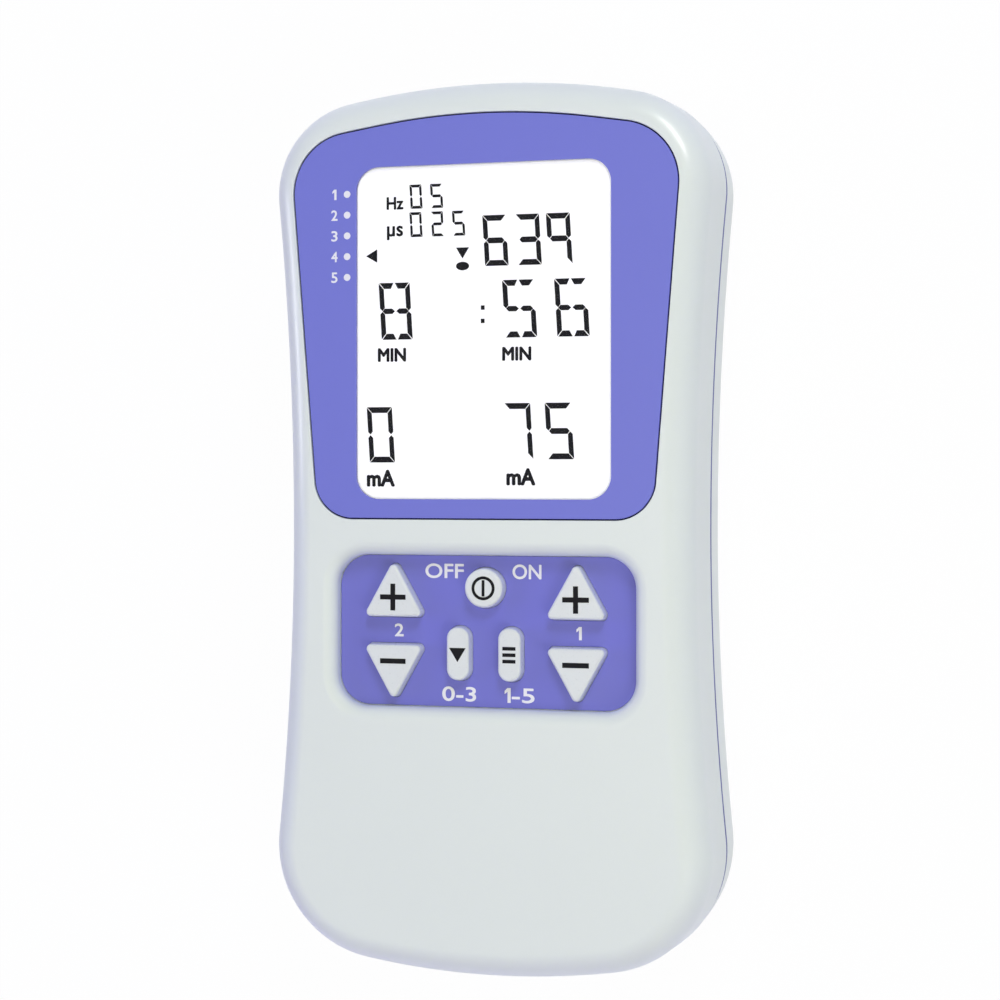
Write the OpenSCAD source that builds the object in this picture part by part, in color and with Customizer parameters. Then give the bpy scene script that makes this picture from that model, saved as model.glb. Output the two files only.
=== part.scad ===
/* [Case] */
// Length of the case from end to end
body_len = 128; // [124:1:140]
// Width of the case across its shoulders
body_w = 65; // [64:0.5:74]
// Thickness of the case from back to face
body_t = 29; // [29:0.5:34]
// Height of the parting line above the back
seam_z = 14.5; // [13:0.5:16]
// How far each side draws in at the waist
waist_in = 2.3; // [0.5:0.1:3]
// Radius of the crowned top and bottom ends
end_r = 112; // [80:1:200]
// Radius of the two top corners in plan
top_corner_r = 14; // [12:0.5:18]
// Radius of the two bottom corners in plan
bottom_corner_r = 17; // [14:0.5:20]
// Width of the rounded front edge in plan
edge_w = 4.2; // [3:0.1:4.4]
// Height of the rounded front edge
edge_h = 6; // [4:0.1:8]
// Draft of the front side walls
wall_draft = 0.6; // [0.2:0.1:1]
// Width of the rounded back edge in plan
back_edge_w = 6.5; // [5:0.1:7]
// Straight height of the back wall below the parting line
back_straight = 4.5; // [3:0.1:5]
// Thickness of the side walls
wall = 2.2; // [1.8:0.1:2.4]
// Thickness of the front wall
face_wall = 2.6; // [2.2:0.1:2.8]
// Thickness of the back wall
floor_t = 3; // [2.8:0.1:3.4]
// Bevel of both rims along the parting line
seam_bevel = 0.1; // [0.05:0.05:0.2]
// Height of the open line between the two shells
seam_gap = 1.2; // [0.8:0.1:1.3]
// Depth of that line
seam_depth = 0.5; // [0.4:0.05:0.6]
// Height of the sealing cord in that line
cord_h = 0.35; // [0.2:0.05:0.5]
// Distance of the sealing cord inside the side walls
cord_in = 0.05; // [0.05:0.05:0.1]
// Height of the tongue that locates the two shells
tongue_h = 1.4; // [1:0.1:2]
// Thickness of that tongue
tongue_t = 0.9; // [0.6:0.05:1]
// Clearance around parts that are assembled by hand
fit_gap = 0.1; // [0.05:0.05:0.2]

/* [Display] */
// Length of the coloured overlay, foot to crown
display_len = 56.7; // [56:0.1:57.5]
// Distance of the overlay's top corner points inside the shoulders
display_top_in = 4.1; // [4:0.1:6.5]
// Distance of the overlay's bottom corner points inside the shoulders
display_foot_in = 8.3; // [6.5:0.1:9.5]
// Rim between the top end of the case and the overlay
display_rim = 5.7; // [4.5:0.1:6]
// Part of the overlay's top edge that its crown rounds
crown_ratio = 0.55; // [0.5:0.01:0.65]
// Fall of the top edge from its middle to the corner points
display_fall = 4.5; // [4:0.1:5.2]
// Radius of the top corners of the overlay
display_corner_r = 8.5; // [7:0.1:10.8]
// Radius of the bottom corners of the overlay
display_foot_r = 5.6; // [3:0.1:8]
// Thickness of the overlay
overlay_t = 0.5; // [0.3:0.05:0.6]
// How far the overlay lies below the face
overlay_sink = 0.1; // [0:0.05:0.3]
// Open line between the overlay and the case
overlay_gap = 0.2; // [0.1:0.05:0.3]
// Distance of the window's sides inside the shoulders
window_in = 14; // [13.8:0.1:15.5]
// Length of the window in the overlay
window_len = 47.1; // [44:0.1:47.4]
// Corner radius of the window
window_r = 3.3; // [2:0.1:6]
// Height of the window above the foot of the overlay
window_foot = 2.7; // [2.6:0.1:3.2]
// Thickness of the clear lens under the overlay
lens_t = 1; // [0.8:0.1:1.2]
// Width of the lens that the overlay covers
lens_lip = 2.2; // [2:0.1:2.3]
// Thickness of each of the two display glasses
glass_t = 1.1; // [0.7:0.1:1.2]
// Width of the glass beyond the window
glass_lip = 1; // [0.6:0.1:1.2]
// Width of the contact ledge on the lower glass
glass_ledge = 2; // [1.5:0.1:2.5]
// Wall of the display holder
holder_wall = 1.4; // [1:0.1:1.5]
// Thickness of the foam seal around the display
seal_t = 0.7; // [0.4:0.1:0.9]
// Distance of the rubber contact strips' ends inside the glass
strip_in = 2.5; // [2:0.1:5]
// Thickness of the rubber contact strips
strip_t = 2; // [1.5:0.1:2.2]

/* [Keypad] */
// Distance of the keypad panel's sides inside the shoulders
keypad_in = 10.8; // [10.5:0.1:12.5]
// Length of the keypad panel
keypad_len = 21.6; // [21:0.1:23]
// Corner radius of the keypad panel
keypad_r = 4.5; // [3:0.1:6]
// Distance from the overlay down to the keypad
keypad_gap = 5.2; // [5:0.1:8]
// Depth of the keypad panel below the face
keypad_depth = 2.6; // [2:0.1:2.8]
// Radius of the soft lip around the keypad
lip_r = 1.9; // [1.2:0.1:2.1]
// Thickness of the keypad panel
panel_t = 0.3; // [0.2:0.05:0.5]
// Thickness of the tray under the keypad panel
tray_t = 1.4; // [1.2:0.1:1.6]
// Width of the tray's wall around the keypad
tray_wall = 1.6; // [1.2:0.1:1.8]
// Height of the keys above the panel
key_rise = 1.6; // [1:0.1:2]
// Travel of the keys
key_travel = 0.6; // [0.3:0.05:0.6]
// Clearance around the keys
key_gap = 0.15; // [0.1:0.05:0.25]
// Taper of the keys above the panel
key_taper = 0.15; // [0.05:0.05:0.25]
// Rounding of the keys' top edges
key_round = 0.35; // [0.2:0.05:0.45]
// Width of the flange that holds the keys in
flange_w = 0.6; // [0.4:0.05:0.7]
// Thickness of that flange
flange_t = 0.7; // [0.5:0.05:0.75]
// Distance of the triangle keys' points inside the panel's sides
key_margin = 3.65; // [3:0.05:4]
// Gap between the triangle keys' points and the oblong keys
column_clear = 3; // [2.5:0.1:4]
// Gap between the bases of the two triangle keys of a column
column_gap = 3.7; // [3:0.1:4]
// Height of the triangle keys to the sharp point
triangle_len = 8.5; // [7.5:0.1:8.6]
// Corner radius of the triangle keys
triangle_r = 0.8; // [0.6:0.05:1]
// Diameter of the power key
power_d = 5.8; // [5:0.1:6]
// Height of the power key above the middle of the keypad
power_up = 6.2; // [5.8:0.1:6.6]
// Width of the two oblong keys
oblong_w = 3.6; // [3:0.1:4]
// Length of the two oblong keys
oblong_len = 7.8; // [6:0.1:8]
// Flat width at the round ends of the two oblong keys
oblong_flat = 0.1; // [0.05:0.05:0.4]
// Distance of the oblong keys from the middle
oblong_x = 3.75; // [3.6:0.05:4.2]
// Drop of the oblong keys below the middle of the keypad
oblong_down = 3.1; // [2.8:0.1:3.6]
// Side of the square key switches
switch_w = 5; // [4.5:0.1:5.2]
// Height of the key switches
switch_h = 1.5; // [1.3:0.05:1.6]
// Radius of the switch plungers
plunger_r = 1.2; // [0.9:0.05:1.3]
// Width of the plungers' feet beyond their stems
plunger_foot = 0.32; // [0.2:0.02:0.4]
// Running clearance of the plungers
plunger_gap = 0.06; // [0.04:0.01:0.1]

/* [Battery] */
// Length of the battery without its terminals
battery_len = 46.4; // [45:0.1:47]
// Width of the battery
battery_w = 26.5; // [25.5:0.1:27]
// Thickness of the battery
battery_t = 17.5; // [16.5:0.1:17.6]
// Radius of the battery's long edges
battery_r = 2; // [1:0.1:3]
// Distance of the two battery terminals
terminal_pitch = 12.7; // [12:0.1:13]
// Radius of the stud terminal
stud_r = 2.8; // [2.6:0.05:3]
// Wall of the crown terminal
crown_t = 1.2; // [0.8:0.1:1.4]
// Height of the terminals
terminal_h = 2.1; // [1.8:0.1:2.4]
// Distance of the battery from the bottom end of the case
battery_end = 4.6; // [4.4:0.1:6]
// Clearance around the battery
battery_gap = 0.4; // [0.3:0.05:0.6]
// Walls of the battery bay
bay_wall = 1.4; // [1.2:0.1:1.6]
// Distance of the bay's side walls from the battery's lower end
bay_open = 2.5; // [2:0.1:6]
// Thickness of the contact plate
clip_t = 2.4; // [2:0.1:3]
// Distance of the contact plate's edges inside the battery's faces
clip_in = 1; // [0.5:0.1:2]
// Width of the contact tabs
tab_w = 3; // [2:0.1:4]
// Thickness of the contact tabs
tab_t = 0.3; // [0.2:0.05:0.5]
// Thickness of the battery door
door_t = 1.8; // [1.6:0.1:2]
// Width of the door beyond the battery opening on each side
door_lap = 1.6; // [1.2:0.1:2]
// Extra width of the door's wedge-shaped edge on its inside
door_wedge = 1.2; // [0.8:0.1:1.6]
// Clearance around the battery door
door_gap = 0.15; // [0.1:0.05:0.25]
// Count of the grip grooves on the door
groove_count = 6; // [3:1:8]
// Distance of the first grip groove from the inner end of the door
groove_in = 12; // [8:0.5:20]
// Pitch of the grip grooves
groove_pitch = 2.2; // [1.8:0.1:3]
// Width of a grip groove
groove_w = 1.1; // [0.8:0.1:1.4]
// Length of a grip groove
groove_len = 15; // [10:0.5:20]
// Depth of the grip grooves
groove_depth = 0.5; // [0.3:0.05:0.7]
// Thickness of the sheet between battery and board
sheet_t = 0.3; // [0.2:0.05:0.5]

/* [Board] */
// Thickness of the circuit board
board_t = 1.6; // [1.2:0.1:1.6]
// Distance of the board's edge inside the case outline
board_in = 4.6; // [4.2:0.1:5]
// Clearance of the board around the case screw posts
notch_gap = 0.8; // [0.5:0.1:1.2]
// Side of the microcontroller
chip_w = 10; // [8:0.5:12]
// Thickness of the microcontroller
chip_h = 1.4; // [1:0.1:1.6]
// Width of the microcontroller's leads
chip_lead = 0.4; // [0.3:0.05:0.5]
// Count of the leads on each side of the microcontroller
chip_lead_count = 8; // [6:1:8]
// Distance of the transformers inside the shoulders
transformer_in = 17.5; // [17:0.1:18.5]
// Distance of the transformers below the lead sockets
transformer_gap = 12.3; // [8:0.1:14]
// Width of a transformer core
core_w = 14; // [13:0.1:15]
// Thickness of a transformer core
core_len = 5; // [4:0.1:6]
// Height of a transformer core
core_h = 11; // [9:0.1:12]
// Width of the middle leg of a transformer core
leg_w = 4; // [3:0.1:5]
// Width of the two openings of a transformer core
coil_room = 3; // [2:0.1:3.2]
// Thickness of the yokes of a transformer core
yoke = 2.3; // [2:0.1:3]
// Radius of the capacitors
capacitor_r = 4; // [3:0.1:4.5]
// Height of the capacitors
capacitor_h = 10; // [8:0.1:12]
// Bevel of the capacitors' tops
capacitor_bevel = 0.6; // [0.3:0.1:1]
// Gap between the two capacitors
capacitor_gap = 3; // [1:0.1:4]
// Drop of the upper capacitor below the transformers' middle
capacitor_drop = 3; // [0:0.1:6]
// Distance of buzzer and crystal above the battery bay
bay_clear = 3; // [1:0.1:4]
// Radius of the buzzer
buzzer_r = 6; // [4:0.1:6.5]
// Height of the buzzer
buzzer_h = 5; // [3:0.1:6]
// Radius of the buzzer's sound hole
buzzer_hole_r = 1; // [0.5:0.1:1.5]
// Thickness of the buzzer's base under its sound hole
buzzer_base = 1; // [0.6:0.1:2]
// Width of the crystal's can
crystal_w = 4.4; // [3:0.1:5]
// Distance of the round ends of the crystal's can
crystal_len = 6.5; // [5:0.1:8]
// Height of the crystal's can
crystal_h = 3.5; // [3:0.1:5]
// Distance of the lead sockets from the middle
socket_x = 12; // [10:0.5:15]
// Radius of the bore of a lead socket
socket_bore_r = 1.8; // [1.2:0.05:2]
// Depth of the bore of a lead socket
socket_depth = 11.5; // [10:0.5:12]
// Wall of the metal sleeve in a lead socket
sleeve_t = 0.5; // [0.3:0.05:0.8]
// Outer radius of the nose of a lead socket
nose_r = 3.9; // [3.4:0.1:4.2]
// Width of the socket block
socket_w = 9; // [8:0.1:10]
// Depth of the socket block along the case
socket_len = 12; // [11:0.1:13]
// Set-back of the nose behind the end of the case
nose_back = 1; // [0.8:0.1:1.6]

/* [Fasteners] */
// Distance of the case screws inside the shoulders
screw_in = 7.5; // [7:0.1:7.6]
// Distance of the case screws from each end
screw_end = 17; // [16:0.5:19]
// Radius of the case screws' shanks
screw_r = 1.2; // [1:0.05:1.4]
// Radius of the case screws' heads
head_r = 2.2; // [1.9:0.05:2.3]
// Height of the screw heads
head_h = 1.6; // [1.2:0.1:2]
// Depth of the screw heads' seats above the back
seat_z = 8; // [7:0.5:9]
// Height of the screw posts above the parting line
post_rise = 3; // [2:0.1:4]
// Distance of the screws' points below the front wall
screw_tip = 1.5; // [1:0.1:3]
// Radius of the board screws' shanks
board_screw_r = 0.9; // [0.7:0.05:1]
// Height of the board screws' heads
board_head_h = 1.3; // [1:0.1:1.5]
// Drop of the upper board screws below the middle of the window
board_screw_up = 6; // [2:0.5:10]
// Distance of the lower board screws below the keypad's tray
board_screw_drop = 7.5; // [5:0.5:9]
// Distance of the upper board screw posts from the display holder
holder_clear = 0.4; // [0.2:0.1:0.8]
// Distance of the lower board screw posts from the battery bay
boss_gap = 2.6; // [1:0.1:3]
// Wall around every screw hole
boss_wall = 1.5; // [1.2:0.1:1.6]

/* [Hidden] */

$fn = 48;
cut = 1;
half_l = body_len / 2;
half_w = body_w / 2;

// Segments of the outlines and of the rounded edges
end_steps = 5;
corner_steps = 9;
side_steps = 6;
edge_steps = 6;
fillet_steps = 6;
round_steps = 3;

// Levels of the front wall, the display and the keypad
ceiling_z = body_t - face_wall;
overlay_z = body_t - overlay_sink - overlay_t;
lens_z = overlay_z - lens_t;
glass_z = lens_z - fit_gap;
glass_low_z = glass_z - 2 * glass_t;
panel_z = body_t - keypad_depth;
tray_z = panel_z - panel_t;
tray_low_z = tray_z - tray_t;
key_top_z = panel_z + key_rise;
flange_z = tray_low_z - fit_gap - flange_t;

// Levels of the battery and the board
battery_z = door_t + door_gap + fit_gap / 2;
sheet_z = battery_z + battery_t;
board_z = sheet_z + sheet_t;
board_top = board_z + board_t;
switch_top = board_top + switch_h;
plunger_top = switch_top + key_travel + fit_gap;
battery_mid_z = battery_z + battery_t / 2;

// Widths that follow the width of the case
display_top_w = body_w - 2 * display_top_in;
display_foot_w = body_w - 2 * display_foot_in;
window_w = body_w - 2 * window_in;
keypad_w = body_w - 2 * keypad_in;
triangle_w = keypad_w / 2 - key_margin - oblong_x - oblong_w / 2 - column_clear;
column_x = keypad_w / 2 - key_margin - triangle_w / 2;

// Places along the length
display_top = half_l - display_rim;
display_foot = display_top - display_len;
window_low = display_foot + window_foot;
window_y = window_low + window_len / 2;
keypad_y = display_foot - keypad_gap - keypad_len / 2;
glass_w = window_w + 2 * glass_lip;
glass_len = window_len + 2 * glass_lip;
strip_len = glass_w - 2 * strip_in;
holder_half = glass_w / 2 + 2 * fit_gap + holder_wall;
battery_low = -half_l + battery_end;
battery_high = battery_low + battery_len;
clip_y = battery_high + terminal_h;
bay_high = clip_y + clip_t + battery_gap;
bay_half = battery_w / 2 + battery_gap;
bay_side = bay_half + bay_wall;
nose_y = half_l - nose_back;
socket_back = nose_y - wall - socket_len;
sleeve_r = socket_bore_r + sleeve_t;

// Screw places: case screws at the four corners, board screws beside display and battery
screw_x = half_w - screw_in;
screw_y = half_l - screw_end;
screw_post_z = seam_z + post_rise;
screw_top = ceiling_z - screw_tip;
board_boss_r = board_screw_r + boss_wall;
board_head_r = 2 * board_screw_r;
case_screw_places = [for (x = [-1, 1]) for (y = [-1, 1]) [x * screw_x, y * screw_y]];
board_screw_low = keypad_y - keypad_len / 2 - tray_wall - board_screw_drop;
board_screw_high = window_y - board_screw_up;
board_screw_places = [for (way = [-1, 1]) each [
  [way * (holder_half + holder_clear + board_boss_r), board_screw_high],
  [way * (bay_side + boss_gap + board_boss_r), board_screw_low]
]];

// Places of the parts on the back of the board, between the lead sockets and the battery bay
coil_len = core_len + 2 * coil_room;
transformer_x = half_w - transformer_in;
transformer_y = socket_back - transformer_gap - coil_len / 2;
capacitor_y = transformer_y - capacitor_drop;
buzzer_y = bay_high + bay_wall + bay_clear + buzzer_r;
buzzer_at = [-transformer_x, buzzer_y];
crystal_at = [transformer_x, buzzer_y];

// One quarter of the case outline, as points with the angle of their outward normal
function quarter(r) =
  let (
    cx = half_w - r,
    end_y = half_l - end_r,
    cy = end_y + sqrt(pow(end_r - r, 2) - cx * cx),
    reach = r - waist_in,
    side_r = (reach * reach + cy * cy - r * r) / (2 * waist_in),
    side_x = half_w - waist_in + side_r,
    a_end = atan2(cy - end_y, cx),
    a_side = atan2(cy, side_x - cx)
  )
  concat(
    [for (i = [0:end_steps - 1])
      let (a = 90 - (90 - a_end) * i / end_steps)
      [end_r * cos(a), end_y + end_r * sin(a), a]],
    [for (i = [0:corner_steps - 1])
      let (a = a_end - (a_end + a_side) * i / corner_steps)
      [cx + r * cos(a), cy + r * sin(a), a]],
    [for (i = [0:side_steps])
      let (a = a_side * (i / side_steps - 1))
      [side_x - side_r * cos(a), -side_r * sin(a), a]]
  );

function flip(p, sx, sy) = [sx * p.x, sy * p.y, atan2(sy * sin(p.z), sx * cos(p.z))];

// The whole case outline, counter-clockwise from the top
function case_outline() =
  let (
    top = quarter(top_corner_r),
    foot = quarter(bottom_corner_r),
    n = len(top) - 1
  )
  concat(
    [for (i = [0:n - 1]) flip(top[i], -1, 1)],
    [for (i = [n:-1:1]) flip(foot[i], -1, -1)],
    [for (i = [0:n - 1]) flip(foot[i], 1, -1)],
    [for (i = [n:-1:1]) top[i]]
  );

// A convex outline with a rounding at each of its points, given as [x, y, radius]
function rounded(points) =
  let (n = len(points))
  [for (i = [0:n - 1])
    let (
      p = points[i],
      back = points[(i + n - 1) % n],
      next = points[(i + 1) % n],
      a_in = atan2(back.x - p.x, p.y - back.y),
      a_out = atan2(p.x - next.x, next.y - p.y),
      turn = (a_out - a_in + 360) % 360,
      inward = p.z / (1 + cos(turn)),
      cx = p.x - inward * (cos(a_in) + cos(a_out)),
      cy = p.y - inward * (sin(a_in) + sin(a_out))
    )
    for (k = [0:fillet_steps])
      let (a = a_in + turn * k / fillet_steps)
      [cx + p.z * cos(a), cy + p.z * sin(a), a]];

function rounded_box(x, y, w, h, r) =
  rounded([
    [x + w / 2, y - h / 2, r],
    [x + w / 2, y + h / 2, r],
    [x - w / 2, y + h / 2, r],
    [x - w / 2, y - h / 2, r]
  ]);

function inset(outline, d) = [for (p = outline) [p.x - d * cos(p.z), p.y - d * sin(p.z)]];

function display_outline() =
  let (
    slope = atan2(display_fall, display_top_w / 2),
    crown_r = crown_ratio * norm([display_fall, display_top_w / 2]) / tan(slope),
    point_y = display_top + crown_r * (1 / cos(slope) - 1),
    corner_y = point_y - display_fall
  )
  rounded([
    [display_foot_w / 2, display_foot, display_foot_r],
    [display_top_w / 2, corner_y, display_corner_r],
    [0, point_y, crown_r],
    [-display_top_w / 2, corner_y, display_corner_r],
    [-display_foot_w / 2, display_foot, display_foot_r]
  ]);

function window_outline() = rounded_box(0, window_y, window_w, window_len, window_r);
function glass_outline() = rounded_box(0, window_y, glass_w, glass_len, window_r - glass_lip);
function keypad_outline() = rounded_box(0, keypad_y, keypad_w, keypad_len, keypad_r);
function battery_outline() = rounded_box(0, battery_mid_z, battery_w, battery_t, battery_r);

// A triangle key whose base lies half the column gap from the middle; way is 1 up, -1 down
function triangle_outline(x, way) =
  let (
    base_y = keypad_y + way * column_gap / 2,
    tip_y = base_y + way * triangle_len,
    half = way * triangle_w / 2
  )
  rounded([
    [x - half, base_y, triangle_r],
    [x + half, base_y, triangle_r],
    [x, tip_y, triangle_r]
  ]);

function oblong_outline(x) =
  rounded_box(x, keypad_y - oblong_down, oblong_w, oblong_len, (oblong_w - oblong_flat) / 2);

// Switch places, under the middle of each key
triangle_mid = column_gap / 2 + triangle_len / 3;
place_plus_a = [column_x, keypad_y + triangle_mid];
place_minus_a = [column_x, keypad_y - triangle_mid];
place_plus_b = [-column_x, keypad_y + triangle_mid];
place_minus_b = [-column_x, keypad_y - triangle_mid];
place_power = [0, keypad_y + power_up];
place_program = [oblong_x, keypad_y - oblong_down];
place_set = [-oblong_x, keypad_y - oblong_down];
key_places = [
  place_plus_a, place_minus_a, place_plus_b, place_minus_b,
  place_power, place_program, place_set
];

// A solid through rings of one outline, each ring given as [inset, height]
module loft(outline, rings) {
  n = len(outline);
  last = len(rings) - 1;
  skin = [for (r = rings) for (p = inset(outline, r[0])) [p.x, p.y, r[1]]];
  middle = [for (k = [0, 1]) let (v = [for (p = outline) p[k]]) (min(v) + max(v)) / 2];
  caps = [
    [middle.x, middle.y, rings[0][1]],
    [middle.x, middle.y, rings[last][1]]
  ];
  sides = [for (j = [0:last - 1]) for (i = [0:n - 1])
    let (a = j * n + i, b = j * n + (i + 1) % n)
    each [[a, a + n, b + n], [a, b + n, b]]];
  low = [for (i = [0:n - 1]) [len(skin), i, (i + 1) % n]];
  high = [for (i = [0:n - 1]) [len(skin) + 1, last * n + (i + 1) % n, last * n + i]];
  polyhedron(concat(skin, caps), concat(sides, low, high), convexity = 6);
}

module plate(outline, d, low, high) {
  translate([0, 0, low])
    linear_extrude(high - low)
      polygon(inset(outline, d));
}

module box_between(low, high) {
  translate(low)
    cube(high - low);
}

module post(at, r, low, high) {
  translate([at.x, at.y, low])
    cylinder(r = r, h = high - low);
}

// A cylinder along the length of the case
module post_y(x, z, r, low, high) {
  translate([x, low, z])
    rotate([-90, 0, 0])
      cylinder(r = r, h = high - low);
}

module front_skin() {
  loft(case_outline(), concat(
    [
      [seam_depth, seam_z],
      [seam_depth, seam_z + seam_gap],
      [seam_bevel, seam_z + seam_gap],
      [0, seam_z + seam_gap + seam_bevel]
    ],
    [for (i = [0:edge_steps])
      let (a = 90 * i / edge_steps)
      [wall_draft + edge_w * (1 - cos(a)), body_t - edge_h * (1 - sin(a))]]
  ));
}

module front_hollow() {
  loft(case_outline(), [
    [wall, seam_z - cut],
    [wall, seam_z],
    [wall + wall_draft, body_t - edge_h],
    [wall + wall_draft + edge_w / 5, ceiling_z - edge_h / 5],
    [wall + wall_draft + edge_w / 2, ceiling_z]
  ]);
}

module rear_skin() {
  edge_top = seam_z - back_straight;
  loft(case_outline(), concat(
    [for (i = [0:edge_steps])
      let (a = 90 - 90 * i / edge_steps)
      [back_edge_w * (1 - cos(a)), edge_top * (1 - sin(a))]],
    [[0, seam_z - seam_bevel], [seam_bevel, seam_z]]
  ));
}

module rear_hollow() {
  loft(case_outline(), [
    [wall + back_edge_w / 2, floor_t],
    [wall + back_edge_w / 6, floor_t + wall],
    [wall, seam_z - back_straight],
    [wall, seam_z + cut]
  ]);
}

// The wedge-edged strip of the back that the battery door fills
module door_strip(gap, low_gap) {
  outer = bay_half + door_lap + gap;
  lean = door_wedge / door_t;
  translate([0, bay_high + gap, 0])
    rotate([90, 0, 0])
      linear_extrude(body_len)
        polygon([
          [-outer + lean * low_gap, -low_gap],
          [outer - lean * low_gap, -low_gap],
          [outer + lean * (door_t + gap), door_t + gap],
          [-outer - lean * (door_t + gap), door_t + gap]
        ]);
}

module socket_holes() {
  for (x = [-socket_x, socket_x])
    post_y(x, seam_z, nose_r + fit_gap, socket_back, half_l + cut);
}

module front_shell() {
  color("#dbe1e1")
    difference() {
      union() {
        difference() {
          front_skin();
          front_hollow();
          plate(case_outline(), wall - tongue_t - fit_gap, seam_z - cut, seam_z + tongue_h + fit_gap);
        }
        plate(keypad_outline(), -tray_wall, tray_low_z, ceiling_z + cut);
        for (p = case_screw_places)
          post(p, screw_r + boss_wall, screw_post_z + fit_gap, ceiling_z + cut);
        for (p = board_screw_places)
          post(p, board_boss_r, board_top, ceiling_z + cut);
      }
      plate(display_outline(), -overlay_gap, overlay_z, body_t + cut);
      plate(window_outline(), -lens_lip - fit_gap, lens_z, overlay_z + cut);
      plate(glass_outline(), -2 * fit_gap, ceiling_z - cut, lens_z + cut);
      loft(keypad_outline(), concat(
        [[0, tray_z]],
        [for (i = [0:round_steps])
          let (a = 90 * i / round_steps)
          [-lip_r * (1 - cos(a)), body_t - lip_r * (1 - sin(a))]],
        [[-lip_r, body_t + cut]]
      ));
      key_openings(tray_low_z - cut, tray_z + cut);
      for (p = case_screw_places)
        post(p, screw_r + fit_gap / 2, screw_post_z, ceiling_z);
      for (p = board_screw_places)
        post(p, board_screw_r + fit_gap / 2, board_top - cut, ceiling_z);
      socket_holes();
    }
}

module rear_shell() {
  bay_top = board_z - 2 * battery_gap;
  bay_low = battery_low + bay_open;
  color("#d6dcdd")
    difference() {
      union() {
        difference() {
          rear_skin();
          rear_hollow();
        }
        difference() {
          plate(case_outline(), wall - tongue_t, seam_z - tongue_h, seam_z + tongue_h);
          plate(case_outline(), wall, seam_z - tongue_h - cut, seam_z + tongue_h + cut);
        }
        for (x = [-bay_side, bay_half])
          box_between([x, bay_low, floor_t - cut], [x + bay_wall, bay_high + bay_wall, bay_top]);
        box_between([-bay_side, bay_high, floor_t - cut], [bay_side, bay_high + bay_wall, bay_top]);
        for (p = case_screw_places)
          post(p, head_r + fit_gap + boss_wall, floor_t - cut, screw_post_z);
      }
      door_strip(door_gap, cut);
      box_between([-bay_half, battery_low - battery_gap, door_t], [bay_half, bay_high, seam_z]);
      for (p = case_screw_places) {
        post(p, screw_r + fit_gap, seat_z - cut, screw_post_z + cut);
        post(p, head_r + fit_gap, -cut, seat_z);
      }
      socket_holes();
    }
}

// Two lengths of cord, with the lead sockets between them
module sealing_cord() {
  color("#7072a8")
    difference() {
      plate(case_outline(), cord_in, seam_z, seam_z + cord_h);
      plate(case_outline(), seam_depth - fit_gap, seam_z - cut, seam_z + cord_h + cut);
      socket_holes();
    }
}

module battery_door() {
  groove_y = bay_high - groove_in;
  color("#d6dcdd")
    difference() {
      intersection() {
        rear_skin();
        door_strip(0, 0);
      }
      for (i = [0:groove_count - 1])
        translate([0, groove_y - i * groove_pitch, 0])
          cube([groove_len, groove_w, 2 * groove_depth], center = true);
    }
}

module display_overlay() {
  color("#7779d1")
    difference() {
      plate(display_outline(), 0, overlay_z, overlay_z + overlay_t);
      plate(window_outline(), 0, overlay_z - cut, overlay_z + overlay_t + cut);
    }
}

module display_lens() {
  color("#eef2f4", 0.4) {
    plate(window_outline(), -lens_lip, lens_z, overlay_z);
    plate(window_outline(), fit_gap / 2, lens_z, overlay_z + overlay_t);
  }
}

module display_seal() {
  color("#2b2c30")
    difference() {
      plate(glass_outline(), -2 * fit_gap - holder_wall, ceiling_z - seal_t, ceiling_z);
      plate(glass_outline(), -2 * fit_gap, ceiling_z - seal_t - cut, ceiling_z + cut);
    }
}

module lcd_glass() {
  color("#f4f6f4")
    union() {
      plate(glass_outline(), 0, glass_low_z, glass_low_z + glass_t);
      plate(rounded_box(0, window_y, glass_w, glass_len - glass_ledge, window_r - glass_lip),
        0, glass_low_z, glass_z);
    }
}

// The two strips stand under the ends of the lower glass
module strip_pair(gap, low, high) {
  for (way = [-1, 1])
    translate([0, window_y + way * (glass_len / 2 - strip_t), (low + high) / 2])
      cube([strip_len + 2 * gap, strip_t + 2 * gap, high - low], center = true);
}

module lcd_holder() {
  shelf = strip_t * 2;
  color("#3a3c42")
    difference() {
      plate(glass_outline(), -2 * fit_gap - holder_wall, board_top, ceiling_z - seal_t);
      plate(glass_outline(), -2 * fit_gap, glass_low_z, ceiling_z);
      plate(rounded_box(0, window_y, glass_w - shelf, glass_len - 2 * shelf, window_r),
        0, board_top - cut, ceiling_z);
      strip_pair(fit_gap, board_top - cut, ceiling_z);
    }
}

module contact_strips() {
  color("#4a4b50")
    strip_pair(0, board_top, glass_low_z);
}

// Openings for all seven keys, between two heights
module key_openings(low, high) {
  for (x = [-column_x, column_x])
    for (way = [-1, 1])
      plate(triangle_outline(x, way), -key_gap, low, high);
  for (x = [-oblong_x, oblong_x])
    plate(oblong_outline(x), -key_gap, low, high);
  post(place_power, power_d / 2 + key_gap, low, high);
}

module keypad_panel() {
  color("#706ec4")
    difference() {
      plate(keypad_outline(), fit_gap, tray_z, panel_z);
      key_openings(tray_z - cut, panel_z + cut);
    }
}

// Rings of a key's crown: straight to the panel, tapered above it, rounded at the top
function crown_rings() = concat(
  [[0, flange_z], [0, panel_z]],
  [for (i = [0:round_steps])
    let (a = 90 * i / round_steps)
    [key_taper + key_round * (1 - cos(a)), key_top_z - key_round * (1 - sin(a))]]
);

module moulded_key(outline, at) {
  color("#dde0e0")
    union() {
      loft(outline, crown_rings());
      plate(outline, -flange_w, flange_z, flange_z + flange_t);
      post(at, plunger_r, plunger_top, flange_z + flange_t);
    }
}

module key_plus_a() {
  moulded_key(triangle_outline(column_x, 1), place_plus_a);
}

module key_minus_a() {
  moulded_key(triangle_outline(column_x, -1), place_minus_a);
}

module key_plus_b() {
  moulded_key(triangle_outline(-column_x, 1), place_plus_b);
}

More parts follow.
